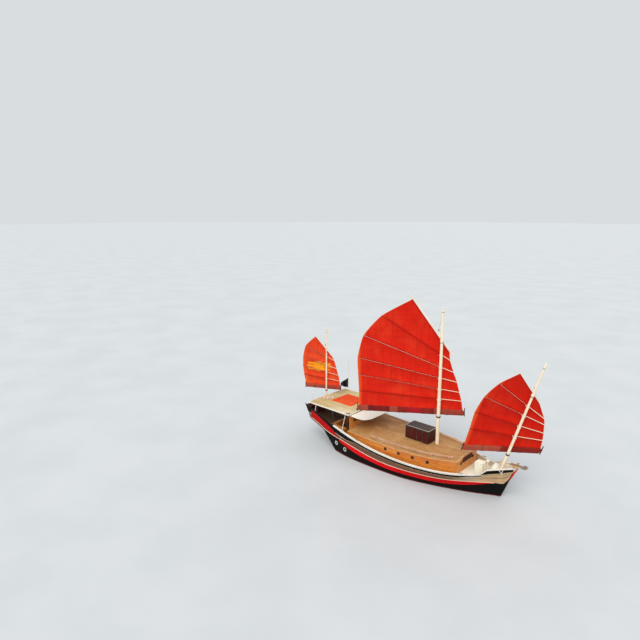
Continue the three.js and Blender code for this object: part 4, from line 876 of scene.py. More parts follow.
HOUSE_PLANKS = groove_shares(6, 0.005)
MARGIN = 0.13


def house_half(x):
    return column(HOUSE, 1, x)


def house_top(x):
    return smooth_column(HOUSE, 2, min(x, HOUSE_FORE - 1e-4))


def deck_surface(x, y):
    """Crowned top of the deckhouse deck."""
    share = min(abs(y) / (house_half(x) - MARGIN), 1)
    return house_top(x) + CROWN * (1 - share * share)


def house_rows(x):
    y = house_half(x)
    planks = zone(deck_z(x) + SEAT, house_top(x) - SLAB - 0.002, HOUSE_PLANKS)
    return with_back([(y - inset, z) for z, inset in planks], 0.05)


def plank_strip(xs, y1, y2, top_at, height=0.014):
    """One deck plank from y1 to y2 at each x, which may be cut by a slanting edge."""
    rings = []
    for x, a, b in zip(xs, y1, y2):
        c = min(0.004, (b - a) / 4)
        za, zb = top_at(x, a), top_at(x, b)
        rings.append([(x, a, za - height), (x, b, zb - height), (x, b, zb - c), (x, b - c, zb),
                      (x, a + c, za), (x, a, za - c)])
    return loft(rings)


def deck_edge_rows(x):
    """Margin plank and fascia along the edge of the deckhouse deck."""
    outer = house_half(x) + EAVE + 0.006
    inner = outer - 0.16
    z1, z2 = deck_surface(x, outer), deck_surface(x, inner)
    return [(inner, z2 - 0.02), (outer, z1 - SLAB - 0.004), (outer + 0.006, z1 - SLAB / 2),
            (outer, z1 + 0.006), (outer - 0.012, z1 + 0.014), (inner + 0.004, z2 + 0.01), (inner, z2 + 0.006)]


def build_house_deck():
    """Slab with a dark caulked surface, single planks, a margin plank and a fascia."""
    xs = stations(HOUSE_AFT, HOUSE_FORE + EAVE, 0.14)
    rings = []
    for x in xs:
        half = house_half(x) + EAVE
        low = house_top(x) - SLAB
        rings.append([(x, y, deck_surface(x, y) - 0.012) for y in spread(-half, half, 24)]
                     + [(x, half, low), (x, -half, low)])
    verts, faces, keys = loft(rings, ["dark"] * 24 + ["varnish_skin", "dark", "varnish_skin"])
    slab = Parts().add((verts, faces, keys[:-2] + ["varnish_skin"] * 2))
    slab.make("house_deck_slab", "deck_planks", "house_deck", angle=30,
              uvs={"skin": [(x, 0.02 * i) for x in xs for i in range(27)]})
    planks = Parts("deck")
    width, gap, covered = 0.13, 0.008, 0.05
    count = int(max(half for _, half, _ in HOUSE) / width) + 1
    for side in range(-count, count):
        a, b = side * width + gap / 2, (side + 1) * width - gap / 2
        limits = [(x, house_half(x) - covered + EAVE) for x in xs]
        limits = [(x, limit) for x, limit in limits if limit > min(abs(a), abs(b)) + 0.02]
        if len(limits) > 1:
            starts = [max(a, -limit) for _, limit in limits]
            ends = [max(min(b, limit), start + 0.01) for (_, limit), start in zip(limits, starts)]
            planks.add(plank_strip([x for x, _ in limits], starts, ends, deck_surface))
    planks.make("house_deck_planks", "deck_planks", angle=25)
    edge = Parts("tan_trim")
    for _, sign in SIDES:
        edge.add(side_loft(sign, xs, deck_edge_rows, ["varnish_skin"] * 3 + ["tan_trim"] * 4))
    half = house_half(HOUSE_FORE) + EAVE
    edge.add(strip([(HOUSE_FORE + EAVE - 0.045, y, deck_surface(HOUSE_FORE, y) - 0.01)
                    for y in spread(-half, half, 16)], 0.055, 0.05, AHEAD))
    edge.make("house_deck_edge", "varnished_wood", angle=35, uvs={"skin": [(v.x, v.z) for v in edge.verts]})


build_sides("house_planks", "varnished_wood", "house_side", stations(HOUSE_AFT, 4.199, 0.3), house_rows,
            ["varnish_skin"] * (len(HOUSE_PLANKS) - 1) + ["cream"] * 3,
            uv_rows=[share * 6 * PLANK for share, _ in HOUSE_PLANKS] + [INSIDE_V] * 2)
build_house_deck()

# x and z of the round ports in the deckhouse sides and in the quarters, y and z of those in its front
HOUSE_PORTS = [(-1.337, 1.829), (-0.14, 1.832), (1.059, 1.844), (2.219, 1.797)]
QUARTER_PORTS = [(-6.3, 0.82), (-5.25, 0.60)]
FRONT_PORTS = [(-0.898, 1.896), (0.898, 1.896)]


def porthole(parts, centre, normal, radius):
    """Rim with bolts and a dished dark glass."""
    rim = ((0.70, 0.0), (1, 0.002), (1, 0.016), (0.9, 0.026), (0.74, 0.026), (0.68, 0.012), (0.68, 0.0))
    glass = ((0, 0.002), (0.7, 0.002), (0.7, 0.008), (0.35, 0.012), (0, 0.013))
    for profile, material in ((rim, None), (glass, "glass")):
        parts.add(lathe([(radius * r, z) for r, z in profile], centre, normal, 28), material)
    _, u, v = axes(normal)
    for k in range(8):
        at = Vector(centre) + round_about(u, v, k / 8) * radius * 0.83
        parts.add(lathe([(0.006, 0.022), (0.0075, 0.026), (0.0075, 0.03), (0.004, 0.032)], at, normal, 6))


def slope(value, at, reach):
    """Rise of a function of one place about that place."""
    return (value(at + reach) - value(at - reach)) / (2 * reach)


def build_ports():
    """Bronze ports of the deckhouse and white-rimmed ports of the quarters."""
    ports = Parts("dark_bronze")
    for x, z in HOUSE_PORTS:
        for _, sign in SIDES:
            porthole(ports, (x, sign * house_half(x), z), (-slope(house_half, x, 0.05), sign, 0), 0.125)
    for y, z in FRONT_PORTS:
        porthole(ports, (HOUSE_FORE, y, z), AHEAD, 0.115)
    ports.make("house_ports", "bronze")
    rings = Parts("white")
    for x, z in QUARTER_PORTS:
        for _, sign in SIDES:
            rise = slope(lambda height: skin_y(x, height), z, 0.1)
            taper = slope(lambda place: skin_y(place, z), x, 0.1)
            porthole(rings, (x, sign * (skin_y(x, z) - 0.006), z), (-taper, sign, -rise), 0.175)
    rings.make("quarter_ports", "white_paint")


def build_grab_rails():
    """Pairs of long grab rails with turned feet and cross bars along both edges of the deckhouse top."""
    inset, apart, pitch, aft, fore = 0.34, 0.17, 0.21, -3.05, 3.85
    foot = [(0.022, -0.01), (0.022, 0.012), (0.013, 0.03), (0.017, 0.07), (0.013, 0.1), (0.013, 0.135)]

    def outer(x):
        return house_half(x) - inset

    for side, sign in SIDES:
        parts = Parts("rail_wood")
        for inward, rise in ((0, 0.13), (apart, 0.142)):
            parts.add(strip([(x, sign * (outer(x) - inward), deck_surface(x, outer(x)) + rise)
                             for x in stations(aft, fore, 0.25)], 0.024, 0.032, (0, 1, 0), 0.01))
        x = aft + 0.05
        while x < fore - 0.03:
            y, z = sign * outer(x), deck_surface(x, outer(x))
            inner = y - sign * apart
            for foot_y in (y, inner):
                parts.add(lathe(foot, (x, foot_y, z), UP, 10))
            parts.add(block(x - 0.032, x + 0.032, min(y, inner), max(y, inner), z + 0.142, z + 0.16, 0.005))
            x += pitch
        parts.make("grab_rail_%s" % side, "varnished_wood")


build_ports()
build_grab_rails()

# Roof over the after deck

ROOF_AFT, ROOF_FORE, ROOF_HALF, ROOF_TOP, ROOF_CROWN, ROOF_THICK = -9.84, -5.19, 2.47, 3.49, 0.045, 0.06


def roof_z(x, y):
    return ROOF_TOP + ROOF_CROWN * (1 - min(abs(y) / ROOF_HALF, 1) ** 2.6)


def build_roof():
    """Slab, planks over it and a white fascia all round."""
    half, under = ROOF_HALF - 0.004, ROOF_TOP - ROOF_THICK
    rings = [[(x, y, roof_z(x, y) - 0.01) for y in spread(-half, half, 20)]
             + [(x, half, under), (x, -half, under)]
             for x in (ROOF_AFT + 0.004, (ROOF_AFT + ROOF_FORE) / 2, ROOF_FORE - 0.004)]
    slab = Parts().add(loft(rings, ["seam_grey"] * 20 + ["white"] * 3))
    slab.make("roof_slab", "cream_paint", "roof", angle=30)
    planks = Parts("roof")
    width, gap, pairs = 0.198, 0.008, 12
    xs = spread(ROOF_AFT + 0.05, ROOF_FORE - 0.05, 6)
    for side in range(-pairs, pairs):
        a, b = side * width + gap / 2, (side + 1) * width - gap / 2
        planks.add(plank_strip(xs, [a] * 7, [b] * 7, roof_z, 0.012))
    planks.make("roof_planks", "cream_paint", angle=25)
    fascia = Parts("white")
    for _, sign in SIDES:
        fascia.add(strip([(x, sign * (ROOF_HALF - 0.022), ROOF_TOP - 0.012)
                          for x in (ROOF_AFT, -8.5, -7.2, -6.0, ROOF_FORE)], 0.045, 0.046, UP, 0.01))
    for x in (ROOF_AFT + 0.022, ROOF_FORE - 0.022):
        fascia.add(strip([(x, y, roof_z(x, y) - 0.012) for y in spread(-ROOF_HALF, ROOF_HALF, 12)],
                         0.03, 0.046, UP, 0.01))
    fascia.make("roof_fascia", "white_paint")


build_roof()

# Rigs


def rig_frame(x, z, rake, swing):
    return (Matrix.Translation((x, 0, z)) @ Matrix.Rotation(math.radians(rake), 4, "Y")
            @ Matrix.Rotation(math.radians(swing), 4, "Z"))


# In each rig's own frame, s forward along the boom, t up the mast and side from the mast to the cloth.
# scale: thickness of battens and edge rope; mast: t of its foot, top and start of the taper, radius at foot
# and top; neck: length of its bare tip; ball: radius of the ball on it; band, collar: t of the rings on it;
# yard: its ends (s, t); halyard: how far its head is below the mast top; lines: leech and luff end of the
# foot, each batten and the yard; foot: s1, s2, t1, t2 of the cover and its height; hang: how far it reaches
# below the boom; highlight_radii: radius of the light line painted as a highlight on each batten; covers:
# share and material of each section
RIGS = {
    "main": {
        "frame": rig_frame(1.68, 0, 0, 35), "side": 0.33, "scale": 1.0,
        "mast": (2.3567, 13.11, 2.31, 0.138, 0.082), "neck": 0.27, "ball": 0.0432,
        "band": 4.56, "collar": 10.53, "yard": ((0.86, 9.42), (-2.33, 13.85)), "halyard": 0.33,
        "lines": [((-6.09, 5.04), (1.80, 5.04)), ((-6.11, 6.25), (1.69, 5.80)), ((-6.20, 7.56), (1.49, 6.49)),
                  ((-6.26, 8.93), (1.28, 7.29)), ((-5.84, 10.70), (0.985, 8.05)),
                  ((-4.49, 12.27), (0.70, 8.96)), ((-2.20, 13.60), (0.60, 9.70))],
        "foot": (-6.18, 1.93, 4.75, 4.75, 0.36), "hang": 0.15,
        "highlight_radii": (0.0, 0.0045, 0.0075, 0.009, 0.0),
        "covers": [(0.10, "foot_dusty"), (0.20, "foot_dark"), (0.08, "foot_dusty"), (0.08, "foot_maroon"),
                   (0.16, "foot_crimson"), (0.10, "foot_maroon"), (0.13, "foot_dusty"), (0.15, "foot_dusty")],
    },
    "fore": {
        "frame": rig_frame(7.04, 2.51, 16.6, 35), "side": 0.255, "scale": 0.9,
        "mast": (-0.45, 8.19, -0.65, 0.105, 0.06), "neck": 0.03, "ball": 0.0,
        "band": 0.83, "collar": 5.73, "yard": ((0.76, 5.17), (-1.39, 7.14)), "halyard": 0.13,
        "lines": [((-2.98, 0.49), (1.99, 1.85)), ((-3.01, 1.89), (1.88, 2.52)), ((-3.08, 3.26), (1.74, 3.09)),
                  ((-2.84, 4.62), (1.56, 3.72)), ((-2.23, 5.84), (1.39, 4.15)),
                  ((-1.21, 6.925), (0.68, 5.19))],
        "foot": (-3.01, 2.06, 0.31, 1.68, 0.26), "hang": 0.27,
        "highlight_radii": (0.0, 0.0, 0.005, 0.0075),
        "covers": [(1.3, "foot_dusty"), (1.2, "foot_dusty"), (1.3, "foot_maroon"), (1.3, "foot_maroon")],
    },
    "mizzen": {
        "frame": rig_frame(-10.0, 0, 0, 27), "side": 0.2, "scale": 0.75,
        "mast": (3.0024, 9.76, 3.0024, 0.072, 0.046), "neck": 0.11, "ball": 0.055,
        "band": 3.905, "collar": 7.67, "yard": ((0.47, 7.18), (-1.19, 9.08)), "halyard": 0.13,
        "lines": [((-1.99, 4.33), (1.25, 4.33)), ((-2.19, 5.20), (1.18, 4.85)), ((-2.29, 6.05), (1.06, 5.37)),
                  ((-2.27, 6.96), (0.88, 5.98)), ((-2.01, 7.97), (0.66, 6.72)),
                  ((-1.06, 8.885), (0.40, 7.21))],
        "foot": (-2.0, 1.29, 4.07, 4.07, 0.315), "hang": 0.09,
        "highlight_radii": (0.0, 0.004, 0.004, 0.004),
        "covers": [(0.9, "foot_dusty"), (1.1, "foot_dusty"), (0.7, "foot_dusty"), (0.6, "foot_dusty")],
    },
}
SETTLING = {"vertex_group_mass": "pin", "use_pressure": True, "quality": 6, "mass": 0.4,
            "tension_stiffness": 12, "compression_stiffness": 12, "bending_stiffness": 0.3}
SETTLING_FRAMES = 16


def mast_radius(rig, t):
    _, top, foot, r0, r1 = rig["mast"]
    return lerp(r0, r1, clamp((t - foot) / (top - foot)) ** 1.6)


def edge_point(lines, side, panel, w):
    """Point (s, t) of the leech (side 0) or luff (side 1), a full curve through the ends of the battens."""
    ends = [Vector(pair[side]) for pair in lines]
    p1, p2 = ends[panel], ends[panel + 1]
    p0 = ends[panel - 1] if panel else p1 * 2 - p2
    p3 = ends[panel + 2] if panel + 2 < len(ends) else p2 * 2 - p1
    curve = (p1 * 2 + (p2 - p0) * w + (p0 * 2 - p1 * 5 + p2 * 4 - p3) * w ** 2
             + (p1 * 3 - p0 - p2 * 3 + p3) * w ** 3) / 2
    return curve.lerp(p1.lerp(p2, w), 0.45)


def shell_faces(height, width):
    """Faces of a grid of points, of the same grid behind it, and of the rim between them."""
    faces, back = [], height * width
    for i in range(height - 1):
        for j in range(width - 1):
            a = i * width + j
            near = [a, a + width, a + width + 1, a + 1]
            faces += [near, [back + k for k in near[::-1]]]
    rim = list(range(width)) + [i * width + width - 1 for i in range(1, height)]
    rim += [(height - 1) * width + j for j in range(width - 2, -1, -1)]
    rim += [i * width for i in range(height - 2, 0, -1)]
    return faces + [[a, b, back + b, back + a] for a, b in zip(rim, rim[1:] + rim[:1])]


def thin_shell(rows, thick):
    """Closed thin sheet from a grid of points: both faces and the rim."""
    height, width = len(rows), len(rows[0])
    front, behind = [], []
    for i in range(height):
        for j in range(width):
            a = rows[min(i + 1, height - 1)][j] - rows[max(i - 1, 0)][j]
            b = rows[i][min(j + 1, width - 1)] - rows[i][max(j - 1, 0)]
            n = a.cross(b)
            n = n.normalized() if n.length > 1e-9 else Vector(UP)
            front.append(rows[i][j] + n * thick / 2)
            behind.append(rows[i][j] - n * thick / 2)
    return front + behind, shell_faces(height, width), None


def settle(verts, faces, pinned, pressure, limit):
    """Vertices after a short cloth simulation: pressure swells the form between its pinned places."""
    mesh = bpy.data.meshes.new("settling")
    mesh.from_pydata([tuple(v) for v in verts], [], faces)
    obj = bpy.data.objects.new("settling", mesh)
    scene.collection.objects.link(obj)
    obj.vertex_groups.new(name="pin").add(pinned, 1.0, "REPLACE")
    grid = bmesh.new()
    grid.from_mesh(mesh)
    write_back(grid, mesh)
    settings = obj.modifiers.new("cloth", "CLOTH").settings
    for key, value in SETTLING.items():
        setattr(settings, key, value)
    settings.effector_weights.gravity = 0
    settings.uniform_pressure_force = pressure
    for number in range(1, SETTLING_FRAMES + 1):
        scene.frame_set(number)
    settled = obj.evaluated_get(bpy.context.evaluated_depsgraph_get()).data
    moves = [after.co - before for after, before in zip(settled.vertices, verts)]
    scene.frame_set(1)
    bpy.data.objects.remove(obj)
    bpy.data.meshes.remove(mesh)
    return [v + move * min(1, limit / max(move.length, 1e-6)) for v, move in zip(verts, moves)]


def build_mast(name, rig):
    """Tapered pole with bands and a ball or a round cap."""
    low, top, _, _, _ = rig["mast"]
    neck, ball = top - rig["neck"], rig["ball"]
    profile = [(mast_radius(rig, t), t) for t in spread(low, neck, 30)]
    tip = mast_radius(rig, top)
    if ball:
        profile += [(tip * 0.55, neck + 0.012), (tip * 0.5, top - 2 * ball)]
        profile += [(ball * math.sin(a) + tip * 0.5 * (1 - a / math.pi), top - ball - ball * math.cos(a))
                    for a in spread(0, math.pi, 8)[1:-1]]
    else:
        profile += [(tip * 0.9, top - 0.01), (tip * 0.55, top)]
    parts = Parts("mast").add(lathe(profile + [(0.0, top)], sides=32))
    for t, height, material in ((rig["band"] - 0.06, 0.05, "dark"), (top - 0.42, 0.05, "iron"),
                                (rig["collar"] - 0.16, 0.04, "iron")):
        r = mast_radius(rig, t)
        parts.add(lathe([(r * 0.98, t), (r + 0.005, t), (r + 0.008, t + 0.01), (r + 0.008, t + height - 0.01),
                         (r + 0.005, t + height), (r * 0.98, t + height)], sides=32), material)
    parts.make("%s_mast_pole" % name, "white_paint", "%s_mast" % name, angle=40, matrix=rig["frame"])


def build_battens(name, rig):
    """Poles across the cloth in their pockets, painted highlight lines on some pockets, and the bolt rope
    round its edge.
    """
    lines, side, scale = rig["lines"], rig["side"], rig["scale"]
    parts = Parts("pocket")
    for ((a_s, a_t), (b_s, b_t)), highlight_radius in zip(lines[1:-1], rig["highlight_radii"]):
        a, b = Vector((a_s - 0.02, side - 0.0234, a_t)), Vector((b_s + 0.03, side - 0.0234, b_t))
        mast = -a.x / (b.x - a.x) + 0.02
        covered = [a.lerp(b, share) for share in spread(0, mast, 14)]
        parts.add(tube(covered, 0.02 * scale))
        # A cream line along the front of the pocket: a painted highlight on the batten's ridge.
        if highlight_radius:
            front = Vector((0, -0.02 * scale, 0.004 * scale))
            parts.add(tube([p + front for p in covered], highlight_radius, 6), "line")
        parts.add(tube([a.lerp(b, share) for share in spread(mast, 1, 5)], 0.027 * scale), "mast")
        for at in covered[1:14:2]:
            parts.add(tube([at + (b - a).normalized() * d for d in (-0.02, 0.02)], 0.0235 * scale))
    for edge in (0, 1):
        path = [edge_point(lines, edge, panel, w) for panel in range(len(lines) - 1) for w in spread(0, 1, 5)]
        path = [Vector((p.x, side, p.y)) for p in path]
        path = [p for i, p in enumerate(path) if i == 0 or (p - path[i - 1]).length > 1e-4]
        parts.add(tube(path, 0.016 * scale), "hem")
    parts.add(tube([(s, side, t) for s, t in lines[-1]], 0.014 * scale), "hem")
    parts.make("%s_battens_poles" % name, "cream_paint", "%s_battens" % name, "%s_rig" % name, 40,
               matrix=rig["frame"])


def build_sail(name, rig):
    """Cloth that bellies and creases between its battens."""
    lines, side, last = rig["lines"], rig["side"], len(rig["lines"]) - 2
    rows, flat, in_metres, in_panels = [], [], [], []
    for panel in range(last + 1):
        for w in spread(0, 1, 9)[:None if panel == last else -1]:
            row, level = [], []
            for u in spread(0, 1, 40):
                s, t = edge_point(lines, 0, panel, w).lerp(edge_point(lines, 1, panel, w), u)
                swell = math.sin(math.pi * w)
                depth = 0.11 * swell * math.sin(math.pi * u) ** 0.6
                crease = 0.016 * swell * noise.noise(Vector((s * 0.9, t * 3.2, 3.1)))
                crease += 0.010 * noise.noise(Vector((s * 3.0 + t * 1.4, t * 2.2 - s, 9.7))) * swell
                row.append(Vector((s, side + 0.001 + depth + crease, t)))
                level.append(Vector((s, 0, t)))
                in_metres.append((s, t))
                in_panels.append((s - lines[panel][0][0], w))
            rows.append(row)
            flat.append(level)
    parts = Parts("%s_cloth" % name).add(thin_shell(rows, 0.008))
    obj = parts.make("%s_sail_cloth" % name, "red_cloth", "%s_sail" % name, "%s_rig" % name, 60,
                     {"cloth": in_metres * 2, "panel": in_panels * 2}, rig["frame"])


def full(value, power):
    return math.copysign(abs(value) ** power, value)


def build_foot_cover(name, rig):
    """The lower cloth bundled in its cover on the boom: sections of faded cloth between lashings."""
    s0, s1, z0, z1, height = rig["foot"]
    z0, z1, height, side = z0 - rig["hang"], z1 - rig["hang"], height + rig["hang"], rig["side"]
    length = s1 - s0
    total = sum(share for share, _ in rig["covers"])
    ends = [sum(share for share, _ in rig["covers"][:i + 1]) / total for i in range(len(rig["covers"]))]
    sides, count = 28, int(length / 0.045)
    section = [(math.cos(a), math.sin(a)) for a in (2 * math.pi * (k + 0.5) / sides for k in range(sides))]
    rings, keys, uvs, pinned = [], [], [], []
    for i, f in enumerate(spread(0, 1, count)):
        s, middle = lerp(s0, s1, f), lerp(z0, z1, f) + 0.001 + height / 2
        near = min(abs(f - end) for end in ends[:-1]) * length
        pinch = 1 - 0.13 * math.exp(-(near / 0.05) ** 2)
        taper = min(1.0, 0.62 + min(f, 1 - f) * length * 3.5)
        lift = 0.05 * noise.noise(Vector((s * 3.3, 8.1, 2.0))) * height
        ring = []
        for c, q in section:
            wave = 1 + 0.13 * noise.noise(Vector((s * 2.2, c * 1.5 + 4, q * 1.7)))
            wave += 0.10 * noise.noise(Vector((s * 7.0 + q * 2.0, c * 2.5, q * 4.0 + s * 1.2)))
            ring.append(Vector((s, side + full(c, 0.72) * 0.074 * pinch * wave,
                                middle + full(q, 0.62) * height / 2 * taper * pinch + lift * (q > 0))))
        rings.append(ring)
        uvs += [(s, k * 0.036) for k in range(sides)]
        if near < 0.04 or i in (0, count):
            pinned += range(i * sides, (i + 1) * sides)
        if i < count:
            keys += [next(key for end, (_, key) in zip(ends, rig["covers"]) if f < end)] * sides
    verts, faces, _ = loft(rings)
    verts = settle(verts, faces, pinned, 5.0, 0.03)
    parts = Parts("dark_rope").add((verts, faces, keys + [keys[0], keys[-1]]))
    for end in ends[:-1]:
        for shift in (-0.018, 0.018):
            f = end + shift / length
            s, middle = lerp(s0, s1, f), lerp(z0, z1, f) + height / 2
            parts.add(tube([(s + 0.004 * math.sin(3 * k), side + full(c, 0.72) * 0.072,
                             middle + full(q, 0.62) * (height / 2 - 0.005))
                            for k, (c, q) in enumerate(section)], 0.007, 5, closed=True))
    obj = parts.make("%s_cover" % name, "maroon_cloth", "%s_foot_cover" % name, "%s_rig" % name, 55,
                     {"cloth": uvs + [(0, 0)] * (len(parts.verts) - len(uvs))}, rig["frame"])
    stops = Parts("dark_brown")
    for s, z in ((s0 - 0.03, z0), (s1 + 0.03, z1)):
        stops.add(block(s - 0.028, s + 0.028, side - 0.075, side - 0.02, z - 0.02, z + height * 1.32, 0.008))
    stops.make("%s_stops" % name, "black_paint", None, "%s_rig" % name, 40, matrix=rig["frame"])


def loop_round(radius, reach, t):
    """Loop round the mast that comes back at y = reach."""
    arc = [(radius * math.cos(a), radius * math.sin(a), t) for a in spread(math.pi, 2 * math.pi, 18)]
    ends = spread(0, reach, 4)
    return arc + [(radius, y, t) for y in ends[1:]] + [(-radius, y, t) for y in ends[:0:-1]]


def build_lines(name, rig):
    """Rope loops that hold each batten to the mast, and the halyard with its two blocks."""
    side, top = rig["side"], rig["mast"][1]
    parts = Parts("canvas")
    for (a_s, a_t), (b_s, b_t) in rig["lines"][1:-1]:
        t = lerp(a_t, b_t, -a_s / (b_s - a_s))
        parts.add(tube(loop_round(mast_radius(rig, t) + 0.024, side - 0.05, t), 0.013, 6, closed=True))
    (low_s, low_t), (high_s, high_t) = rig["yard"]
    start = Vector((lerp(low_s, high_s, 0.36), side - 0.1, lerp(low_t, high_t, 0.36)))
    head = Vector((0, mast_radius(rig, top - 0.13) + 0.02, top - rig["halyard"]))
    halyard = [start.lerp(head, share) for share in spread(0, 1, 6)]
    parts.add(tube(halyard, 0.009, 6), "rope")
    pulley = [(0.0, -0.07), (0.03, -0.06), (0.045, 0.0), (0.03, 0.06), (0.0, 0.07)]
    for at in (halyard[1], halyard[5]):
        parts.add(lathe(pulley, at, UP, 12), "dark")
    parts.make("%s_lines" % name, "cream_paint", None, "%s_rig" % name, 50, matrix=rig["frame"])


for rig_name, rig_data in RIGS.items():
    build_mast(rig_name, rig_data)
    build_battens(rig_name, rig_data)
    build_sail(rig_name, rig_data)
    build_foot_cover(rig_name, rig_data)
    build_lines(rig_name, rig_data)

# Soft pieces of the deck

AWNING_AFT, AWNING_FORE, AWNING_HALF, AWNING_CORNER = -5.184, -3.605, 2.33, 1.15
AWNING_Z, AWNING_DROP = 3.4185, 0.105


def awning_front(y):
    """Fore edge of the awning at y: straight, then round to the side."""
    start, turn, y = AWNING_HALF - AWNING_CORNER, AWNING_HALF - 0.1, abs(y)
    if y <= start:
        return AWNING_FORE
    a, b, c = start - 2 * turn + AWNING_HALF, 2 * (turn - start), start - y
    t = (math.sqrt(max(b * b - 4 * a * c, 0)) - b) / (2 * a)
    return AWNING_FORE - t * t * AWNING_CORNER


def awning_point(u, v):
    y = AWNING_HALF * math.sin(v * math.pi / 2)
    x = lerp(AWNING_AFT, awning_front(y), u)
    z = AWNING_Z - AWNING_DROP * (x - AWNING_AFT) / (AWNING_FORE - AWNING_AFT)
    inner = math.sin(math.pi * u) * (1 - v ** 4)
    z -= 0.055 * inner + 0.012 * inner * noise.noise(Vector((x * 2.4, y * 1.2, 5.0)))
    return Vector((x, y, z))


def build_awning():
    """Canvas between roof and hoop, with the rope in its edge and lashings round the hoop."""
    rows = [[awning_point(u, v) for v in spread(-1, 1, 44)] for u in spread(0, 1, 22)]
    canvas = Parts("canvas").add(thin_shell(rows, 0.006))
    obj = canvas.make("awning_canvas", "white_cloth", "awning", angle=60)
    trim = Parts("canvas")
    edge = [awning_point(0, -1)] + [awning_point(1, v) for v in spread(-1, 1, 60)] + [awning_point(0, 1)]
    trim.add(tube([p + Vector((0, 0, -0.002)) for p in edge], 0.011))
    for v in spread(-1, 1, 60)[4:57:4]:
        along = awning_point(1, v + 1 / 60) - awning_point(1, v - 1 / 60)
        trim.add(hoop(awning_point(1, v) + Vector((-0.03, 0, -0.02)), 0.029, 0.005, along, 14, 5), "rope")
    trim.make("awning_edge", "white_cloth")


def build_pad():
    """Crowned orange pad with sewn channels, swelled between them."""
    x0, x1, y0, y1, height = -8.62, -6.33, -0.90, 1.42, 0.055
    seams_x, seam_y = (-8.05, -7.475, -6.9), 0.26
    nx, ny = 56, 48
    top, bottom, sewn = [], [], []
    for i in range(nx + 1):
        for j in range(ny + 1):
            u, v = i / nx * 2 - 1, j / ny * 2 - 1
            x = lerp(x0, x1, i / nx) - math.copysign(0.018 * (1 - abs(v) ** 3) * abs(u) ** 8, u)
            y = lerp(y0, y1, j / ny) - math.copysign(0.018 * (1 - abs(u) ** 3) * abs(v) ** 8, v)
            rim = min((1 - abs(u) ** 14) * (1 - abs(v) ** 14), 1) ** 0.5
            to_seams = [abs(x - at) for at in seams_x] + [abs(y - seam_y)]
            swell = height * rim * (0.72 + 0.10 * noise.noise(Vector((x * 1.6, y * 1.6, 1.0))))
            swell -= 0.012 * rim * sum(math.exp(-(d / 0.03) ** 2) for d in to_seams)
            base = roof_z(x, y) + 0.002
            if i in (0, nx) or j in (0, ny) or min(to_seams) < 0.022:
                sewn.append(len(top))
            top.append(Vector((x, y, base + max(swell, 0.004))))
            bottom.append(Vector((x, y, base)))
    faces = shell_faces(nx + 1, ny + 1)
    verts = settle(top + bottom, faces, sewn + list(range(len(top), 2 * len(top))), 3.0, 0.022)
    pad = Parts("orange").add((verts, faces, None))
    pad.make("roof_pad_orange", "orange_cloth", "roof_pad", angle=60)


def build_windlass_cover():
    """White cloth draped over the windlass, with folds that open towards the deck."""
    centre_x, top_z, half_x, half_y, roundness = 6.478, 2.37, 0.215, 0.365, 2.6
    rows = []
    for f in spread(0, 1, 22):
        row = []
        radial = math.sin(min(f * 1.25, 1) * math.pi / 2) ** 0.75
        for a in spread(0, 2 * math.pi, 72):
            fold = 1 + 0.10 * f ** 2 * math.sin(7 * a + 0.8) + 0.05 * f ** 2 * math.sin(13 * a + 2.1)
            c, q = math.cos(a), math.sin(a)
            reach = radial * fold / (abs(c) ** roundness + abs(q) ** roundness) ** (1 / roundness)
            x = centre_x + half_x * reach * c
            head = top_z - 0.06 * radial + 0.015 * math.sin(3 * a)
            z = lerp(deck_z(x) + 0.008, head, min((1 - f) * 1.12, 1) ** 0.8)
            row.append(Vector((x, half_y * reach * q, z)))
        rows.append(row)
    shell = thin_shell([row[:-1] + [row[0] + Vector((0, 1e-5, 0))] for row in rows], 0.006)
    obj = Parts("canvas").add(shell).make("windlass_canvas", "white_cloth", "windlass_cover", angle=60)


def build_flag():
    """Plain black flag that hangs in soft waves from its hoist."""
    hoist, fly, luff_x, luff_y, top_z, rows = 0.94, 1.04, -9.4255, 2.38, 4.65, []
    for f in spread(0, 1, 26):
        row = []
        for g in spread(0, 1, 24):
            wave = 0.055 * (1 - math.cos(g * 9.0 + f * 2.0)) * min(g * 2.5, 1)
            z = top_z + lerp(-0.76 * g ** 1.1, -hoist - 0.07 * g, f) + 0.02 * math.sin(g * 8) * f
            row.append(Vector((luff_x - fly * g * (1 - 0.12 * f),
                               luff_y + wave + 0.012 * math.sin(g * 15 + 1) * g, z)))
        rows.append(row)
    obj = Parts("flag").add(thin_shell(rows, 0.004)).make("black_flag", "black_cloth", "flag", angle=60)


build_awning()
build_pad()
build_windlass_cover()
build_flag()

# Deck fittings

LOCKER_AFT, LOCKER_FORE, LOCKER_HALF, LOCKER_Z, LOCKER_LID = -0.85, 1.25, 0.6, 3.33, 3.3854
POST_X, BOLLARDS_X, BOLLARD_Y, RAIL_CLEATS_X = 5.88, (6.95, 7.2), 0.42, (-3.9, 4.75)
# x and z of the ends of the bar that joins two bollards
BAR = [(6.88, 2.17), (7.27, 2.26)]
PLATES_X, ROOF_CLEAT_X, ROOF_CLEAT_Y = (-4.6, -1.9, 0.8, 3.2), -5.42, 2.32
# x of each roof stanchion and half breadth at its head
STANCHIONS, STANCHION_TOP = [(-5.6, 2.43), (-9.0, 2.44)], 3.44
LIFEBUOYS, BUOY_RADIUS, BUOY_THICK = [(-9.30, -0.80), (-9.05, -0.42)], 0.215, 0.052
BRIDLE_X, RING_X, RING_Z = (7.06, 7.34), 7.22, 2.06


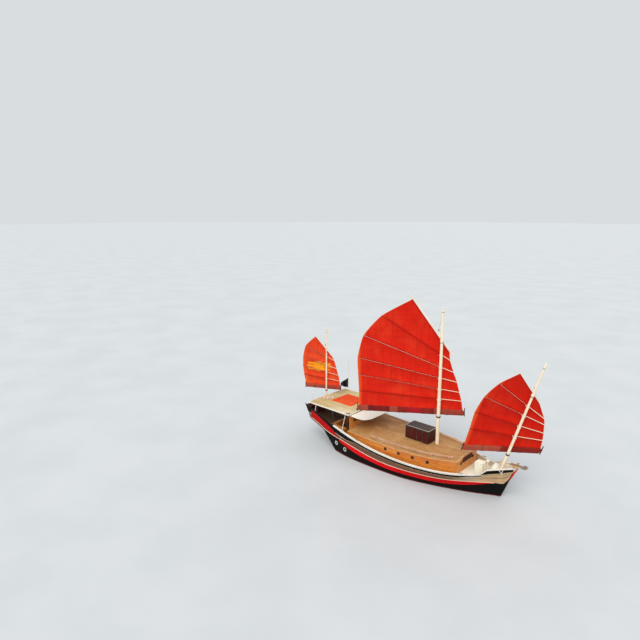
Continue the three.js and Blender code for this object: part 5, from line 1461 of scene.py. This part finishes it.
def cleat(parts, at, along, size, material):
    """Horn cleat: two feet and a bar with tapered horns."""
    along, at = Vector(along).normalized(), Vector(at)
    path = [at + along * size * k / 4 + Vector((0, 0, size * 0.33 + 0.02 * size * k * k / 4))
            for k in range(-4, 5)]
    parts.add(tube(path, [size * r for r in (0.04, 0.06, 0.08, 0.09, 0.1, 0.09, 0.08, 0.06, 0.04)]), material)
    for k in (-1, 1):
        parts.add(lathe([(size * 0.17, -0.004), (size * 0.17, size * 0.05), (size * 0.09, size * 0.12),
                         (size * 0.08, size * 0.34)], at + along * size * 0.3 * k, UP, 12), material)


def bollard(parts, at, height, radius):
    parts.add(lathe([(radius * 1.6, -0.01), (radius * 1.6, 0.02), (radius * 1.05, 0.035),
                     (radius, height * 0.78), (radius * 1.35, height * 0.82), (radius * 1.4, height * 0.94),
                     (radius * 1.1, height), (0, height)], at, UP, 20))


def build_deck_gear():
    """Post and cross bar on the foredeck, cleats, deck plates and roof stanchions."""
    gear = Parts("white")
    gear.add(lathe([(0.075, 0.0), (0.075, 0.02), (0.055, 0.03), (0.055, 0.78), (0.075, 0.80), (0.13, 0.83),
                    (0.15, 0.88), (0.13, 0.94), (0.07, 0.98), (0.0, 0.99)],
                   (POST_X, 0, deck_z(POST_X)), UP, 24))
    for _, sign in SIDES:
        for x in BOLLARDS_X:
            bollard(gear, (x, sign * BOLLARD_Y, deck_z(x) - 0.01), 0.26, 0.045)
        gear.add(tube([(x, sign * BOLLARD_Y, z) for x, z in BAR], 0.028, 10))
        for x in RAIL_CLEATS_X:
            cleat(gear, (x, sign * (rail_y(x) - 0.03), rail_z(x) + 0.07), AHEAD, 0.2, "iron")
        roof_cleat = (ROOF_CLEAT_X, sign * ROOF_CLEAT_Y, ROOF_TOP + 0.014)
        cleat(gear, roof_cleat, (0.75, sign * -0.3, 0), 0.26, "dark")
        for x in PLATES_X:
            y = house_half(x)
            gear.add(lathe([(0.03, 0.0), (0.03, 0.012), (0.018, 0.02), (0.0, 0.022)],
                           (x, sign * (y - 0.10), deck_surface(x, y - 0.02) + 0.012), UP, 14), "steel")
        for x, head in STANCHIONS:
            foot = Vector((x, sign * (rail_y(x) - 0.03), rail_z(x) + 0.01))
            top = Vector((x, sign * head, STANCHION_TOP))
            gear.add(tube([foot, foot.lerp(top, 0.5), top], 0.024, 10))
    gear.make("deck_gear", "white_paint")


def build_locker_trim():
    """Framing on the sides of the deck locker and a light line round its lid."""
    aft, fore, half, z, top = LOCKER_AFT, LOCKER_FORE, LOCKER_HALF, LOCKER_Z, LOCKER_LID
    trim = Parts("dark")
    for _, sign in SIDES:
        y1, y2 = sorted((sign * (half - 0.004), sign * (half + 0.014)))
        low, head = deck_surface(0.2, half) + 0.004, z - (0.026 if sign > 0 else 0.004)
        for x in spread(aft + 0.03, fore - 0.03, 4):
            trim.add(block(x - 0.03, x + 0.03, y1, y2, low, head))
        for height in (low, head - 0.06):
            trim.add(block(aft, fore, y1, y2, height, height + 0.06))
    for x1, x2 in ((aft - 0.014, aft + 0.004), (fore - 0.004, fore + 0.014)):
        low = deck_surface(x1, 0) + 0.006
        for y in (-half + 0.03, 0, half - 0.03):
            trim.add(block(x1, x2, y - 0.03, y + 0.03, low, z - 0.004))
        for height in (low, z - 0.064):
            trim.add(block(x1, x2, -half, half, height, height + 0.06))
    trim.make("locker_frames", "black_paint")
    lid = Parts("line")
    for _, sign in SIDES:
        y1, y2 = sorted((sign * (half - 0.016), sign * (half + 0.022)))
        lid.add(block(aft - 0.018, fore + 0.018, y1, y2, top - 0.03, top + 0.006))
    for x in (aft, fore):
        lid.add(block(x - 0.02, x + 0.018, -half + 0.014, half - 0.014, top - 0.03, top + 0.0055))
    lid.make("locker_lid_edge", "cream_paint", body="locker_lid")


def build_lifebuoys():
    """Two white rings with red bands and a grab line, flat on the roof."""
    buoys = Parts("white")
    ahead, across = Vector(AHEAD), Vector((0, 1, 0))
    for x, y in LIFEBUOYS:
        centre = Vector((x, y, roof_z(x, y) + 0.035))
        buoys.add(hoop(centre, BUOY_RADIUS, BUOY_THICK, UP, 36, 12))
        for k in range(4):
            turn = k / 4 + 0.5 / (2 * math.pi)
            at = centre + round_about(ahead, across, turn) * BUOY_RADIUS
            tangent = round_about(across, -ahead, turn) * 0.03
            buoys.add(tube([at - tangent, at + tangent], BUOY_THICK + 0.0025, 14), "red")
        grab_line = []
        for k in range(48):
            reach = 0.275 - 0.008 * math.cos(math.pi * k / 6 - 2.0)
            grab_line.append(centre + round_about(ahead, across, k / 48) * reach)
        buoys.add(tube(grab_line, 0.007, 6, closed=True), "rope")
    buoys.make("lifebuoys", "white_paint", angle=60)


def build_bow_bridle():
    """Two rope parts over the starboard rail to a ring on the bow."""
    bridle = Parts("canvas")
    foot = Vector((RING_X, -(outside_y(RING_X, RING_Z + 0.06) + 0.035), RING_Z + 0.02))
    for x in BRIDLE_X:
        top = Vector((x, -(rail_y(x) + 0.06), rail_z(x) + 0.03))
        over = Vector((x, -(rail_y(x) - 0.02), rail_z(x) + 0.09))
        bridle.add(tube([over, top, top.lerp(foot, 0.35) - Vector((0, 0.01, 0)), foot], 0.021))
    ring = (RING_X, -(outside_y(RING_X, RING_Z + 0.04) + 0.04), RING_Z)
    bridle.add(hoop(ring, 0.045, 0.014, (0.2, 1, 0), 20, 8))
    bridle.make("bow_bridle", "white_cloth")


build_deck_gear()
build_locker_trim()
build_lifebuoys()
build_bow_bridle()

# CAD pieces that stay, with their materials

KEPT = {
    "keel": "antifoul", "bow_board": "red", "bow_platform": "platform", "anchor": "iron", "poop_deck": "sole",
    "stern_board": "maroon", "house_front": "joinery", "cabin_bulkhead": "joinery",
    "companion_door_port": "joinery", "companion_door_starboard": "joinery", "front_hatch": "maroon",
    "roof_frame": "dark", "awning_hoop": "steel", "stern_rail": "white", "flagstaff": "white",
    "cockpit_bench": "joinery", "helm_pedestal": "joinery", "helm_wheel": "joinery",
    "deck_locker": "maroon", "deck_locker_lid": "dark_brown", "foredeck_locker": "white_deck",
    "foredeck_locker_lid": "white_deck", "rudder": "antifoul", "propeller": "bronze",
}
for rig_name in RIGS:
    KEPT.update({"%s_boom" % rig_name: "dark", "%s_yard" % rig_name: "white"})
for node, key in KEPT.items():
    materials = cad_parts[node].data.materials
    materials.clear()
    materials.append(M[key])

floor_mesh = bpy.data.meshes.new("floor")
floor_mesh.from_pydata([(-FLOOR_REACH, -FLOOR_REACH, 0), (FLOOR_REACH, -FLOOR_REACH, 0),
                        (FLOOR_REACH, FLOOR_REACH, 0), (-FLOOR_REACH, FLOOR_REACH, 0)], [], [(0, 1, 2, 3)])
shade = Shade("floor", 0.75)
patches = shade.span(shade.noise(shade.place(), 0.15, 3), 0.3, 0.7)
floor_mesh.materials.append(shade.finish(shade.mix(patches, "c3c8cb", "c9cdd0")))
floor = bpy.data.objects.new("floor", floor_mesh)
scene.collection.objects.link(floor)
